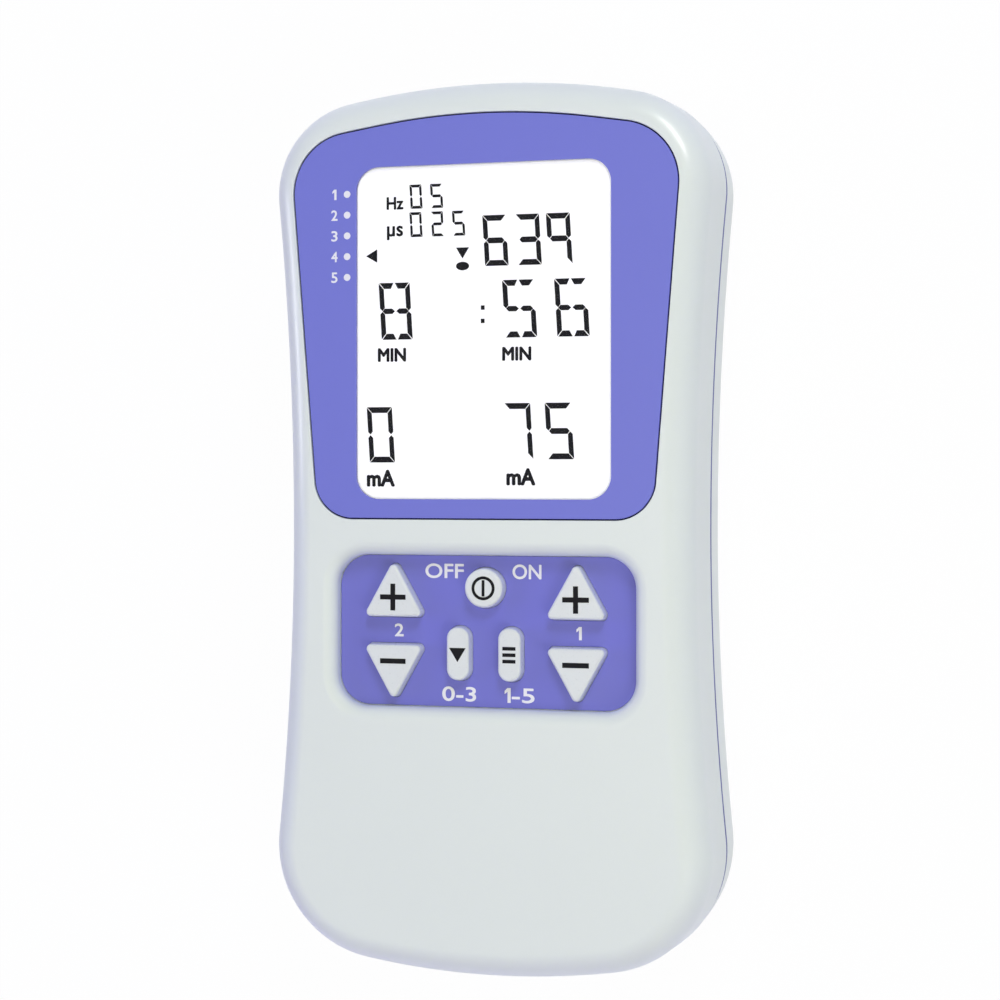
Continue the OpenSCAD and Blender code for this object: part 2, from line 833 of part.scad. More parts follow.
module key_minus_b() {
  moulded_key(triangle_outline(-column_x, -1), place_minus_b);
}

module key_program() {
  moulded_key(oblong_outline(oblong_x), place_program);
}

module key_set() {
  moulded_key(oblong_outline(-oblong_x), place_set);
}

module key_power() {
  r = power_d / 2;
  color("#dde0e0")
    translate([place_power.x, place_power.y, 0])
      rotate_extrude()
        polygon(concat(
          [[0, plunger_top], [plunger_r, plunger_top], [plunger_r, flange_z]],
          [[r + flange_w, flange_z], [r + flange_w, flange_z + flange_t], [r, flange_z + flange_t]],
          [for (ring = crown_rings()) if (ring[1] > flange_z) [r - ring[0], ring[1]]],
          [[0, key_top_z]]
        ));
}

// A plunger with the foot that keeps it in its switch
module plunger(at) {
  foot_t = switch_h / 6;
  foot_top = switch_top - switch_h / 4 - plunger_gap;
  color("#2c2d31")
    union() {
      post(at, plunger_r, foot_top - foot_t, plunger_top);
      post(at, plunger_r + plunger_foot, foot_top - foot_t, foot_top);
    }
}

module plunger_plus_a() {
  plunger(place_plus_a);
}

module plunger_minus_a() {
  plunger(place_minus_a);
}

module plunger_plus_b() {
  plunger(place_plus_b);
}

module plunger_minus_b() {
  plunger(place_minus_b);
}

module plunger_power() {
  plunger(place_power);
}

module plunger_program() {
  plunger(place_program);
}

module plunger_set() {
  plunger(place_set);
}

module key_switches() {
  lid_t = switch_h / 4;
  color("#b9bdc2")
    for (p = key_places)
      difference() {
        translate([p.x, p.y, board_top + switch_h / 2])
          cube([switch_w, switch_w, switch_h], center = true);
        post(p, plunger_r + plunger_foot + 2 * plunger_gap, board_top + switch_h / 12, switch_top - lid_t);
        post(p, plunger_r + plunger_gap, switch_top - lid_t - plunger_gap, switch_top + cut);
      }
}

module main_board() {
  color("#2f7a4b")
    difference() {
      plate(case_outline(), board_in, board_z, board_top);
      for (p = case_screw_places)
        post(p, screw_r + boss_wall + notch_gap, board_z - cut, board_top + cut);
      for (p = board_screw_places)
        post(p, board_screw_r + fit_gap, board_z - cut, board_top + cut);
    }
}

module microcontroller() {
  lead_pitch = chip_w / (chip_lead_count + 2);
  lead_reach = chip_w + 5 * chip_lead;
  color("#26272b")
    translate([0, window_y, board_top])
      union() {
        translate([0, 0, (chip_h + chip_lead) / 2])
          cube([chip_w, chip_w, chip_h], center = true);
        for (turn = [0, 90])
          for (i = [0:chip_lead_count - 1])
            rotate([0, 0, turn])
              translate([(i - (chip_lead_count - 1) / 2) * lead_pitch, 0, chip_lead])
                cube([chip_lead, lead_reach, 2 * chip_lead], center = true);
      }
}

module crystal() {
  low = board_z - crystal_h;
  color("#b4b8bd")
    union() {
      box_between(
        [crystal_at.x - crystal_len / 2, crystal_at.y - crystal_w / 2, low],
        [crystal_at.x + crystal_len / 2, crystal_at.y + crystal_w / 2, board_z]
      );
      for (way = [-1, 1])
        post([crystal_at.x + way * crystal_len / 2, crystal_at.y], crystal_w / 2, low, board_z);
    }
}

module buzzer() {
  low = board_z - buzzer_h;
  color("#232428")
    difference() {
      post(buzzer_at, buzzer_r, low, board_z);
      post(buzzer_at, buzzer_hole_r, low - cut, board_z - buzzer_base);
    }
}

module capacitors() {
  pitch = 2 * capacitor_r + capacitor_gap;
  color("#2a3c78")
    for (i = [-1, 0])
      translate([0, capacitor_y + i * pitch, board_z - capacitor_h])
        rotate_extrude()
          polygon([
            [0, 0],
            [capacitor_r - capacitor_bevel, 0],
            [capacitor_r, capacitor_bevel],
            [capacitor_r, capacitor_h],
            [0, capacitor_h]
          ]);
}

module transformer_cores() {
  color("#3b3b3e")
    for (x = [-transformer_x, transformer_x])
      translate([x, transformer_y, board_z - core_h / 2])
        difference() {
          cube([core_w, core_len, core_h], center = true);
          for (way = [-1, 1])
            translate([way * (leg_w + coil_room) / 2, 0, 0])
              cube([coil_room, core_len + cut, core_h - 2 * yoke], center = true);
        }
}

module transformer_coils() {
  coil_h = core_h - 2 * yoke - 2 * fit_gap;
  coil_w = leg_w + 2 * coil_room - 2 * fit_gap;
  color("#c98a3d")
    for (x = [-transformer_x, transformer_x])
      difference() {
        plate(rounded_box(x, transformer_y, coil_w, coil_len, coil_room / 2), 0,
          board_z - core_h / 2 - coil_h / 2, board_z - core_h / 2 + coil_h / 2);
        translate([x, transformer_y, board_z - core_h / 2])
          cube([leg_w + 2 * fit_gap, core_len + 2 * fit_gap, core_h], center = true);
      }
}

module lead_sockets() {
  block_low = seam_z - nose_r;
  color("#2a2b2f")
    for (x = [-socket_x, socket_x])
      difference() {
        union() {
          box_between(
            [x - socket_w / 2, socket_back, block_low],
            [x + socket_w / 2, socket_back + socket_len - wall, board_z]
          );
          post_y(x, seam_z, nose_r, socket_back + cut, nose_y);
        }
        post_y(x, seam_z, sleeve_r + fit_gap / 5, nose_y - socket_depth, nose_y + cut);
      }
}

module lead_sleeves() {
  color("#c7c9cc")
    for (x = [-socket_x, socket_x])
      difference() {
        post_y(x, seam_z, sleeve_r, nose_y - socket_depth, nose_y);
        post_y(x, seam_z, socket_bore_r, nose_y - socket_depth - cut, nose_y + cut);
      }
}

module battery() {
  color("#4b4f57")
    translate([0, battery_high, 0])
      rotate([90, 0, 0])
        linear_extrude(battery_len)
          polygon(inset(battery_outline(), 0));
}

module battery_terminals() {
  x = terminal_pitch / 2;
  socket_r = stud_r + fit_gap;
  color("#c4c7ca")
    union() {
      post_y(x, battery_mid_z, stud_r, battery_high, clip_y);
      difference() {
        post_y(-x, battery_mid_z, socket_r + crown_t, battery_high, clip_y);
        post_y(-x, battery_mid_z, socket_r, battery_high + terminal_h / 4, clip_y + cut);
      }
    }
}

module contact_plate() {
  color("#303136")
    box_between(
      [-battery_w / 2, clip_y, battery_z + clip_in],
      [battery_w / 2, clip_y + clip_t, sheet_z - clip_in]
    );
}

// The crown closes round the battery's stud, and the stud enters the battery's crown
module snap_contacts() {
  x = terminal_pitch / 2;
  socket_r = stud_r + fit_gap;
  color("#c4c7ca")
    union() {
      difference() {
        post_y(x, battery_mid_z, socket_r + crown_t, battery_high + fit_gap, clip_y);
        post_y(x, battery_mid_z, socket_r, battery_high - cut, clip_y + cut);
      }
      post_y(-x, battery_mid_z, stud_r, battery_high + terminal_h / 4 + fit_gap, clip_y);
    }
}

// Bent tabs from the contact plate up to the board
module contact_tabs() {
  plate_top = sheet_z - clip_in;
  color("#b9bcc0")
    for (way = [-1, 1])
      translate([way * terminal_pitch / 2 - tab_w / 2, clip_y + tab_t, plate_top])
        cube([tab_w, tab_t, board_z - plate_top]);
}

module insulating_sheet() {
  color("#c9b98f")
    box_between(
      [-battery_w / 2, battery_low, sheet_z],
      [battery_w / 2, battery_high - terminal_h, board_z]
    );
}

// A pan-head screw that points up from its seat
module screw(at, shank_r, top_r, top_h, seat, high) {
  slot = top_r / 3;
  difference() {
    union() {
      post(at, shank_r, seat - top_h / 2, high);
      post(at, top_r, seat - top_h, seat);
    }
    for (turn = [0, 90])
      translate([at.x, at.y, seat - top_h])
        rotate([0, 0, turn])
          cube([4 * slot, slot, top_h], center = true);
  }
}

module case_screws() {
  color("#9ea2a6")
    for (p = case_screw_places)
      screw(p, screw_r, head_r, head_h, seat_z, screw_top);
}

module board_screws() {
  color("#9ea2a6")
    for (p = board_screw_places)
      screw(p, board_screw_r, board_head_r, board_head_h, board_z, screw_top);
}

front_shell();
rear_shell();
sealing_cord();
battery_door();
display_overlay();
display_lens();
display_seal();
lcd_glass();
lcd_holder();
contact_strips();
keypad_panel();
key_plus_a();
key_minus_a();
key_plus_b();
key_minus_b();
key_power();
key_program();
key_set();
plunger_plus_a();
plunger_minus_a();
plunger_plus_b();
plunger_minus_b();
plunger_power();
plunger_program();
plunger_set();
key_switches();
main_board();
microcontroller();
crystal();
buzzer();
capacitors();
transformer_cores();
transformer_coils();
lead_sockets();
lead_sleeves();
battery();
battery_terminals();
contact_plate();
snap_contacts();
contact_tabs();
insulating_sheet();
case_screws();
board_screws();
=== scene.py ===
import math

import bpy
from mathutils import Matrix, Vector


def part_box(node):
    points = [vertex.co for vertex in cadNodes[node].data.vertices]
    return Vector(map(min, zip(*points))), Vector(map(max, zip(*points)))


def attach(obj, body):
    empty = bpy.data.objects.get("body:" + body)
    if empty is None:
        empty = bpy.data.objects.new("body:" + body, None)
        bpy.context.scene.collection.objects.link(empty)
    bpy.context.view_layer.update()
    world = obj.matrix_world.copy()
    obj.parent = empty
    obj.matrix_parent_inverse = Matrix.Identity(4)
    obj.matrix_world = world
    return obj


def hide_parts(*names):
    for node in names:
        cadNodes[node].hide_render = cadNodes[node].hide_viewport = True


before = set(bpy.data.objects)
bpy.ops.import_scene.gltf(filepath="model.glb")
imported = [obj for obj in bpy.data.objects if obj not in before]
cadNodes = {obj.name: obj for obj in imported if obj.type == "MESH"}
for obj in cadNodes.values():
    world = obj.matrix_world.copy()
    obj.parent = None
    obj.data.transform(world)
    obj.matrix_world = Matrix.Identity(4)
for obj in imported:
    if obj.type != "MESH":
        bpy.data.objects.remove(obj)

mm = 0.001
scene = bpy.context.scene
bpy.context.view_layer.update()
print("frame loaded:", len(cadNodes), "nodes")


# Mesh helpers, all sizes in millimetres

def addObject(name, data):
    obj = bpy.data.objects.new(name, data)
    scene.collection.objects.link(obj)
    return obj


def meshFrom(name, points, faces):
    mesh = bpy.data.meshes.new(name)
    mesh.from_pydata([(x * mm, y * mm, z * mm) for x, y, z in points], [], faces)
    mesh.update()
    return addObject(name, mesh)


def nodeBox(name):
    return [[round(v / mm, 4) for v in corner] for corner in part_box(name)]


# an outline is a list of points (x, y, angle of the outward normal)
def inset(outline, d):
    return [(x - d * math.cos(a), y - d * math.sin(a)) for x, y, a in outline]


# a closed solid through rings of one outline, each ring (inset, height), lowest first
def loft(name, outline, rings):
    count, last = len(outline), len(rings) - 1
    points = [(x, y, z) for d, z in rings for x, y in inset(outline, d)]
    faces = []
    for j in range(last):
        for i in range(count):
            a, b = j * count + i, j * count + (i + 1) % count
            faces.append((a, b, b + count, a + count))
    faces.append(tuple(reversed(range(count))))
    faces.append(tuple(last * count + i for i in range(count)))
    return meshFrom(name, points, faces)


def plate(name, outline, d, low, high):
    return loft(name, outline, [(d, low), (d, high)])


def circle(x, y, r, steps=48):
    turns = [2 * math.pi * i / steps for i in range(steps)]
    return [(x + r * math.cos(a), y + r * math.sin(a), a) for a in turns]


def post(name, at, r, low, high):
    return plate(name, circle(at[0], at[1], r), 0, low, high)


def boxBetween(name, low, high):
    (x0, y0, z0), (x1, y1, z1) = low, high
    corners = [(x1, y0, 0), (x1, y1, 0), (x0, y1, 0), (x0, y0, 0)]
    return plate(name, corners, 0, z0, z1)


# a solid turned about a line along the case, from rings (radius, y), lowest y first
def turnedY(name, x, z, rings, steps=64):
    obj = loft(name, circle(0, 0, 0, steps), [(-r, y) for r, y in rings])
    upright = Matrix.Rotation(-math.pi / 2, 4, "X")
    obj.data.transform(Matrix.Translation((x * mm, 0, z * mm)) @ upright)
    return obj


def quarterArc(steps):
    return [math.pi / 2 * (i / steps) for i in range(steps + 1)]


def bake(obj):
    bpy.context.view_layer.update()
    graph = bpy.context.evaluated_depsgraph_get()
    mesh = bpy.data.meshes.new_from_object(obj.evaluated_get(graph))
    old = obj.data
    obj.modifiers.clear()
    obj.data = mesh
    mesh.name = obj.name
    bpy.data.meshes.remove(old)


def combine(obj, operation, *others):
    for other in others:
        step = obj.modifiers.new("step", "BOOLEAN")
        step.operation = operation
        step.solver = "MANIFOLD"
        step.object = other
    bake(obj)
    for other in others:
        bpy.data.objects.remove(other)


def weld(obj, reach=0.001):
    step = obj.modifiers.new("weld", "WELD")
    step.merge_threshold = reach * mm
    bake(obj)


# several closed meshes that don't touch, as one object
def gather(name, parts):
    points, faces = [], []
    for part in parts:
        start = len(points)
        points += [tuple(v.co / mm) for v in part.data.vertices]
        faces += [tuple(start + i for i in f.vertices) for f in part.data.polygons]
        bpy.data.objects.remove(part)
    return meshFrom(name, points, faces)


# smooth faces with crisp edges, and normals that keep the flats flat
def smooth(obj, degrees=32):
    for polygon in obj.data.polygons:
        polygon.use_smooth = True
    obj.data.set_sharp_from_angle(angle=math.radians(degrees))
    step = obj.modifiers.new("normals", "WEIGHTED_NORMAL")
    step.keep_sharp = True
    bake(obj)


def place(obj, body, slot, finish, *replaced):
    if finish:
        obj.data.materials.clear()
        obj.data.materials.append(finish)
    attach(obj, body)
    if replaced:
        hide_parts(*replaced)


# Finishes

# a colour as a screen shows it, made linear
def linear(r, g, b):
    return tuple(((c / 255 + 0.055) / 1.055) ** 2.4 for c in (r, g, b)) + (1,)


def tinted(color, factor):
    return tuple(min(1, c * factor) for c in color[:3]) + (1,)


finishSizes = {"glossSpread": 0.02, "cloudDetail": 3, "grainDetail": 2}


# cloudy colour, uneven gloss and a fine grain, all on Object coordinates; sizes in millimetres
def newFinish(name, color, rough, cloud=0.02, cloudSize=12, grain=0.3, grainSize=0.35, depth=0.01, **sockets):
    finish = bpy.data.materials.new(name)
    finish.use_nodes = True
    tree = finish.node_tree
    add, link = tree.nodes.new, tree.links.new
    shader = tree.nodes["Principled BSDF"]
    for socket, value in sockets.items():
        shader.inputs[socket.replace("_", " ")].default_value = value
    where = add("ShaderNodeTexCoord")
    clouds = add("ShaderNodeTexNoise")
    clouds.inputs["Scale"].default_value = 1 / (cloudSize * mm)
    clouds.inputs["Detail"].default_value = finishSizes["cloudDetail"]
    link(where.outputs["Object"], clouds.inputs["Vector"])
    shades = add("ShaderNodeMix")
    shades.data_type = "RGBA"
    shades.inputs["A"].default_value = tinted(color, 1 - cloud)
    shades.inputs["B"].default_value = tinted(color, 1 + cloud)
    link(clouds.outputs["Fac"], shades.inputs["Factor"])
    link(shades.outputs["Result"], shader.inputs["Base Color"])
    grains = add("ShaderNodeTexNoise")
    grains.inputs["Scale"].default_value = 1 / (grainSize * mm)
    grains.inputs["Detail"].default_value = finishSizes["grainDetail"]
    link(where.outputs["Object"], grains.inputs["Vector"])
    gloss = add("ShaderNodeMapRange")
    gloss.inputs["To Min"].default_value = rough - finishSizes["glossSpread"]
    gloss.inputs["To Max"].default_value = rough + finishSizes["glossSpread"]
    link(grains.outputs["Fac"], gloss.inputs["Value"])
    link(gloss.outputs["Result"], shader.inputs["Roughness"])
    bump = add("ShaderNodeBump")
    bump.inputs["Strength"].default_value = grain
    bump.inputs["Distance"].default_value = depth * mm
    link(grains.outputs["Fac"], bump.inputs["Height"])
    link(bump.outputs["Normal"], shader.inputs["Normal"])
    return finish


dull = {"Specular_IOR_Level": 0.1}
filmGrain = {"cloud": 0.012, "grain": 0.08, "grainSize": 0.22, "depth": 0.004}
inkGrain = {"grain": 0.15, "grainSize": 0.15}
caseFinish = newFinish("casePlastic", linear(223, 230, 224), 0.34, cloud=0.008, grain=0.06, depth=0.004)
overlayFinish = newFinish("overlayFilm", linear(111, 116, 202), 0.4, **filmGrain)
# a dark ring laid in the gap round the overlay: painted shade standing for the shadow in that gap
gapShadeFinish = newFinish("glueLine", linear(26, 24, 58), 0.6, cloud=0.05, **dull)
keypadFinish = newFinish("keypadFilm", linear(109, 110, 195), 0.45, **filmGrain)
keyFinish = newFinish("keyPlastic", linear(219, 224, 222), 0.28, cloud=0.006, grain=0.06, grainSize=0.4,
                      depth=0.004)
inkFinish = newFinish("blackInk", linear(24, 24, 27), 0.55, cloud=0.05, **inkGrain, **dull)
whiteInkFinish = newFinish("whiteInk", linear(232, 232, 236), 0.55, cloud=0.01, **inkGrain)
# the white film glows a little: painted light that lightens the shade cast on it at the window's edges; the
# LCD glass shares it
glowingFilmFinish = newFinish("displayFilm", linear(250, 250, 250), 0.5, cloud=0.003, grain=0.05,
                       Emission_Color=(1, 1, 1, 1), Emission_Strength=0.25)
segmentFinish = newFinish("displaySegment", linear(24, 24, 27), 0.5, cloud=0.04, grain=0.1, **dull)
lensFinish = newFinish("clearLens", linear(60, 62, 66), 0.1, cloud=0.02, grain=0.03, Alpha=0.03)
darkFinish = newFinish("darkPlastic", linear(44, 45, 50), 0.42, cloud=0.06)
rubberFinish = newFinish("stripRubber", linear(66, 67, 72), 0.8, cloud=0.1, grain=0.5)
# dark lavender of the parting cord: painted shade for the shadow line at the seam
cordShadeFinish = newFinish("cordRubber", linear(104, 106, 162), 0.6, cloud=0.05)
foamFinish = newFinish("sealFoam", linear(44, 45, 49), 0.9, cloud=0.15, grain=0.9, grainSize=0.5, depth=0.05)
boardFinish = newFinish("boardLaminate", linear(44, 116, 72), 0.4, cloud=0.12, cloudSize=6, grainSize=0.5)
metalFinish = newFinish("brightMetal", linear(206, 208, 210), 0.26, cloud=0.04, cloudSize=3, Metallic=1)
steelFinish = newFinish("screwSteel", linear(168, 172, 176), 0.32, cloud=0.06, cloudSize=2, Metallic=1)
switchFinish = newFinish("switchCover", linear(186, 190, 195), 0.35, cloud=0.05, cloudSize=4, Metallic=0.8)
ferriteFinish = newFinish("ferrite", linear(62, 62, 66), 0.7, cloud=0.15, cloudSize=2, grain=0.6)
copperFinish = newFinish("windingCopper", linear(196, 128, 62), 0.35, cloud=0.12, cloudSize=1, Metallic=0.85)
sleeveFinish = newFinish("capacitorSleeve", linear(42, 60, 120), 0.35, cloud=0.06)
batteryFinish = newFinish("batteryJacket", linear(72, 76, 84), 0.32, cloud=0.06, cloudSize=8)
sheetFinish = newFinish("sheetFilm", linear(200, 184, 142), 0.5, cloud=0.06)
print("finishes ready")


# Outlines of the case, the display and the keypad; levels and places come from the frame

caseSizes = {
    "waist": 2.3, "endRadius": 112, "topCorner": 14, "bottomCorner": 17,
    "edgeWidth": 4.2, "edgeHeight": 6, "draft": 0.6, "backEdge": 6.5, "backStraight": 4.5,
    "wall": 2.2, "faceWall": 2.6, "floor": 3, "tongueHeight": 1.4, "tongue": 0.9,
    "seamBevel": 0.1, "seamGap": 1.2, "seamDepth": 0.5, "cord": 0.35, "cordInset": 0.05,
    "endSteps": 18, "cornerSteps": 26, "sideSteps": 22, "edgeSteps": 26, "bevelSteps": 4,
}
displaySizes = {
    "topWidth": 56.8, "footWidth": 48.4, "crown": 0.55, "fall": 4.5, "cornerRadius": 8.5, "footRadius": 5.6,
    "gap": 0.2, "edge": 0.12, "windowRadius": 3.3, "lensLip": 2.2, "glassLip": 1,
}
keypadSizes = {
    "radius": 4.5, "lip": 1.9, "tray": 1.4, "trayWall": 1.6, "keyGap": 0.06, "panelEdge": 0.05,
    "lipSteps": 12, "powerSteps": 64,
    "columnX": 13.3, "columnGap": 3.7, "triangleWidth": 9.5, "triangleLength": 8.5, "triangleRadius": 0.8,
    "powerRadius": 2.9, "powerUp": 6.2,
    "oblongX": 3.75, "oblongDown": 3.1, "oblongWidth": 3.6, "oblongLength": 7.8, "oblongRadius": 1.75,
}
cut = 1
fit = 0.1
frontLow, frontHigh = nodeBox("front_shell")
overlayLow, overlayHigh = nodeBox("display_overlay")
lensLow, lensHigh = nodeBox("display_lens")
panelLow, panelHigh = nodeBox("keypad_panel")
keyLow, keyHigh = nodeBox("key_power")
halfWidth, halfLength, face = frontHigh
seam = frontLow[2]
ceiling = face - caseSizes["faceWall"]
overlayFoot, overlayTop = overlayLow[2], overlayHigh[2]
lensFoot = lensLow[2]
windowWidth = lensHigh[0] - lensLow[0] - 2 * displaySizes["lensLip"]
windowLength = lensHigh[1] - lensLow[1] - 2 * displaySizes["lensLip"]
windowY = (lensLow[1] + lensHigh[1]) / 2
keypadWidth = panelHigh[0] - panelLow[0] + 2 * fit
keypadLength = panelHigh[1] - panelLow[1] + 2 * fit
keypadY = (panelLow[1] + panelHigh[1]) / 2
panelTop, trayTop = panelHigh[2], panelLow[2]
trayFoot = trayTop - keypadSizes["tray"]
keyTop, keyFoot = keyHigh[2], keyLow[2]


def quarterOutline(r):
    s = caseSizes
    cx = halfWidth - r
    endY = halfLength - s["endRadius"]
    cy = endY + math.sqrt((s["endRadius"] - r) ** 2 - cx * cx)
    reach = r - s["waist"]
    sideR = (reach * reach + cy * cy - r * r) / (2 * s["waist"])
    sideX = halfWidth - s["waist"] + sideR
    aEnd = math.atan2(cy - endY, cx)
    aSide = math.atan2(cy, sideX - cx)
    points = []
    for i in range(s["endSteps"]):
        a = math.pi / 2 - (math.pi / 2 - aEnd) * i / s["endSteps"]
        points.append((s["endRadius"] * math.cos(a), endY + s["endRadius"] * math.sin(a), a))
    for i in range(s["cornerSteps"]):
        a = aEnd - (aEnd + aSide) * i / s["cornerSteps"]
        points.append((cx + r * math.cos(a), cy + r * math.sin(a), a))
    for i in range(s["sideSteps"] + 1):
        a = aSide * (i / s["sideSteps"] - 1)
        points.append((sideX - sideR * math.cos(a), -sideR * math.sin(a), a))
    return points


def flip(point, sx, sy):
    x, y, a = point
    return (sx * x, sy * y, math.atan2(sy * math.sin(a), sx * math.cos(a)))


def caseOutline():
    top = quarterOutline(caseSizes["topCorner"])
    foot = quarterOutline(caseSizes["bottomCorner"])
    return (
        [flip(p, -1, 1) for p in top[:-1]] + [flip(p, -1, -1) for p in foot[:0:-1]]
        + [flip(p, 1, -1) for p in foot[:-1]] + top[:0:-1]
    )


# a convex outline with a rounding at each point (x, y, radius), counter-clockwise
def rounded(points, steps=14):
    outline, count = [], len(points)
    for i, (x, y, r) in enumerate(points):
        backX, backY, _ = points[i - 1]
        nextX, nextY, _ = points[(i + 1) % count]
        aIn = math.atan2(backX - x, y - backY)
        aOut = math.atan2(x - nextX, nextY - y)
        turn = (aOut - aIn) % (2 * math.pi)
        inward = r / (1 + math.cos(turn))
        cx = x - inward * (math.cos(aIn) + math.cos(aOut))
        cy = y - inward * (math.sin(aIn) + math.sin(aOut))
        for k in range(steps + 1):
            a = aIn + turn * k / steps
            outline.append((cx + r * math.cos(a), cy + r * math.sin(a), a))
    return outline


def roundedBox(x, y, w, h, r):
    right, left, top, low = x + w / 2, x - w / 2, y + h / 2, y - h / 2
    return rounded([(right, low, r), (right, top, r), (left, top, r), (left, low, r)])


def displayOutline():
    s = displaySizes
    half, foot = s["topWidth"] / 2, s["footWidth"] / 2
    slope = math.atan2(s["fall"], half)
    crown = s["crown"] * math.hypot(s["fall"], half) / math.tan(slope)
    pointY = overlayHigh[1] + crown * (1 / math.cos(slope) - 1)
    cornerY = pointY - s["fall"]
    footY = overlayLow[1]
    return rounded([
        (foot, footY, s["footRadius"]), (half, cornerY, s["cornerRadius"]), (0, pointY, crown),
        (-half, cornerY, s["cornerRadius"]), (-foot, footY, s["footRadius"]),
    ], steps=20)


def windowOutline(lip=0):
    r = displaySizes["windowRadius"] - lip
    return roundedBox(0, windowY, windowWidth + 2 * lip, windowLength + 2 * lip, r)


def keypadOutline():
    return roundedBox(0, keypadY, keypadWidth, keypadLength, keypadSizes["radius"])


def triangleOutline(x, way):
    s = keypadSizes
    baseY = keypadY + way * s["columnGap"] / 2
    half = way * s["triangleWidth"] / 2
    r = s["triangleRadius"]
    return rounded([(x - half, baseY, r), (x + half, baseY, r), (x, baseY + way * s["triangleLength"], r)])


def oblongOutline(x):
    s = keypadSizes
    return roundedBox(x, oblongY, s["oblongWidth"], s["oblongLength"], s["oblongRadius"])


columnX, oblongX = keypadSizes["columnX"], keypadSizes["oblongX"]
oblongY = keypadY - keypadSizes["oblongDown"]
powerAt = (0, keypadY + keypadSizes["powerUp"])
triangleMid = keypadSizes["columnGap"] / 2 + keypadSizes["triangleLength"] / 3
keyShapes = {
    "plus_a": (triangleOutline(columnX, 1), (columnX, keypadY + triangleMid)),
    "minus_a": (triangleOutline(columnX, -1), (columnX, keypadY - triangleMid)),
    "plus_b": (triangleOutline(-columnX, 1), (-columnX, keypadY + triangleMid)),
    "minus_b": (triangleOutline(-columnX, -1), (-columnX, keypadY - triangleMid)),
    "power": (circle(*powerAt, keypadSizes["powerRadius"], keypadSizes["powerSteps"]), powerAt),
    "program": (oblongOutline(oblongX), (oblongX, oblongY)),
    "set": (oblongOutline(-oblongX), (-oblongX, oblongY)),
}


def keyOpenings(low, high):
    gap = keypadSizes["keyGap"]
    openings = [plate(name, shape, -gap, low, high) for name, (shape, at) in keyShapes.items()]
    return gather("keyOpenings", openings)


# The two shells of the case

screwSizes = {
    "x": 25, "y": 47, "shank": 1.2, "head": 2.2, "headHeight": 1.6, "seat": 8, "postTop": 17.5, "boss": 1.5,
    "tip": 24.9, "slot": 0.73, "slotDepth": 0.8, "dome": 0.5, "thread": 0.6, "threadDepth": 0.25,
    "mouth": 0.25, "steps": 32, "domeSteps": 5,
}
boardScrewSizes = {"shank": 0.9, "high": (23.9, 21.85), "low": (20.05, -34.3), "top": 21.4}
socketSizes = {
    "x": 12, "nose": 3.9, "noseY": 63, "back": 48.8, "bore": 1.8, "sleeve": 0.5, "depth": 11.5,
    "width": 9, "blockLength": 9.8, "blockTop": 19.8, "round": 0.35, "mouth": 0.2, "sleeveGap": 0.02,
    "roundSteps": 5,
}
baySizes = {
    "half": 13.65, "high": -8.1, "low": -59.8, "wallLow": -56.9, "wall": 1.4, "top": 19,
    "door": 1.8, "lap": 1.6, "wedge": 1.2, "gap": 0.15,
}
caseScrewPlaces = [(sx * screwSizes["x"], sy * screwSizes["y"]) for sx in (-1, 1) for sy in (-1, 1)]
boardScrewRows = (boardScrewSizes["high"], boardScrewSizes["low"])
boardScrewPlaces = [(sx * x, y) for sx in (-1, 1) for x, y in boardScrewRows]
socketPlaces = (-socketSizes["x"], socketSizes["x"])


def frontSkin():
    s = caseSizes
    bevel, deep, lip = s["seamBevel"], s["seamDepth"], seam + s["seamGap"]
    bends = quarterArc(s["bevelSteps"])
    rings = [(deep, seam), (deep, lip)]
    rings += [(bevel * (1 - math.sin(a)), lip + bevel * (1 - math.cos(a))) for a in bends]
    rings += [
        (s["draft"] + s["edgeWidth"] * (1 - math.cos(a)), face - s["edgeHeight"] * (1 - math.sin(a)))
        for a in quarterArc(s["edgeSteps"])
    ]
    return loft("frontCase", caseOutline(), rings)


def frontHollow():
    s = caseSizes
    wall, inner = s["wall"], s["wall"] + s["draft"]
    return loft("frontHollow", caseOutline(), [
        (wall, seam - cut), (wall, seam), (inner, face - s["edgeHeight"]),
        (inner + s["edgeWidth"] / 5, ceiling - s["edgeHeight"] / 5), (inner + s["edgeWidth"] / 2, ceiling),
    ])


def rearSkin(name):
    s = caseSizes
    top, bevel = seam - s["backStraight"], s["seamBevel"]
    bends = quarterArc(s["bevelSteps"])
    rings = [(s["backEdge"] * (1 - math.sin(a)), top * (1 - math.cos(a))) for a in quarterArc(s["edgeSteps"])]
    rings += [(bevel * (1 - math.cos(a)), seam - bevel * (1 - math.sin(a))) for a in bends]
    return loft(name, caseOutline(), rings)


def rearHollow():
    s = caseSizes
    return loft("rearHollow", caseOutline(), [
        (s["wall"] + s["backEdge"] / 2, s["floor"]), (s["wall"] + s["backEdge"] / 6, s["floor"] + s["wall"]),
        (s["wall"], seam - s["backStraight"]), (s["wall"], seam + cut),
    ])


def socketHoles():
    r = socketSizes["nose"] + fit
    mouth = [(r, socketSizes["back"]), (r, halfLength + cut)]
    return gather("socketHoles", [turnedY("hole", x, seam, mouth) for x in socketPlaces])


def posts(places, r, low, high):
    return gather("posts", [post("post", at, r, low, high) for at in places])


# a cutter whose mouth at the given height opens in a small round
def flaredPlate(name, outline, d, low, high, flare, steps=6):
    mouth = [(d - flare * (1 - math.cos(a)), high - flare * (1 - math.sin(a))) for a in quarterArc(steps)]
    return loft(name, outline, [(d, low)] + mouth + [(d - flare, high + cut)])


# the same at the back, opening downwards
def flaredSeat(name, outline, flare, high, steps=4):
    mouth = [(-flare * (1 - math.sin(a)), flare * (1 - math.cos(a))) for a in quarterArc(steps)]
    return loft(name, outline, [(-flare, -cut)] + mouth + [(0, high)])


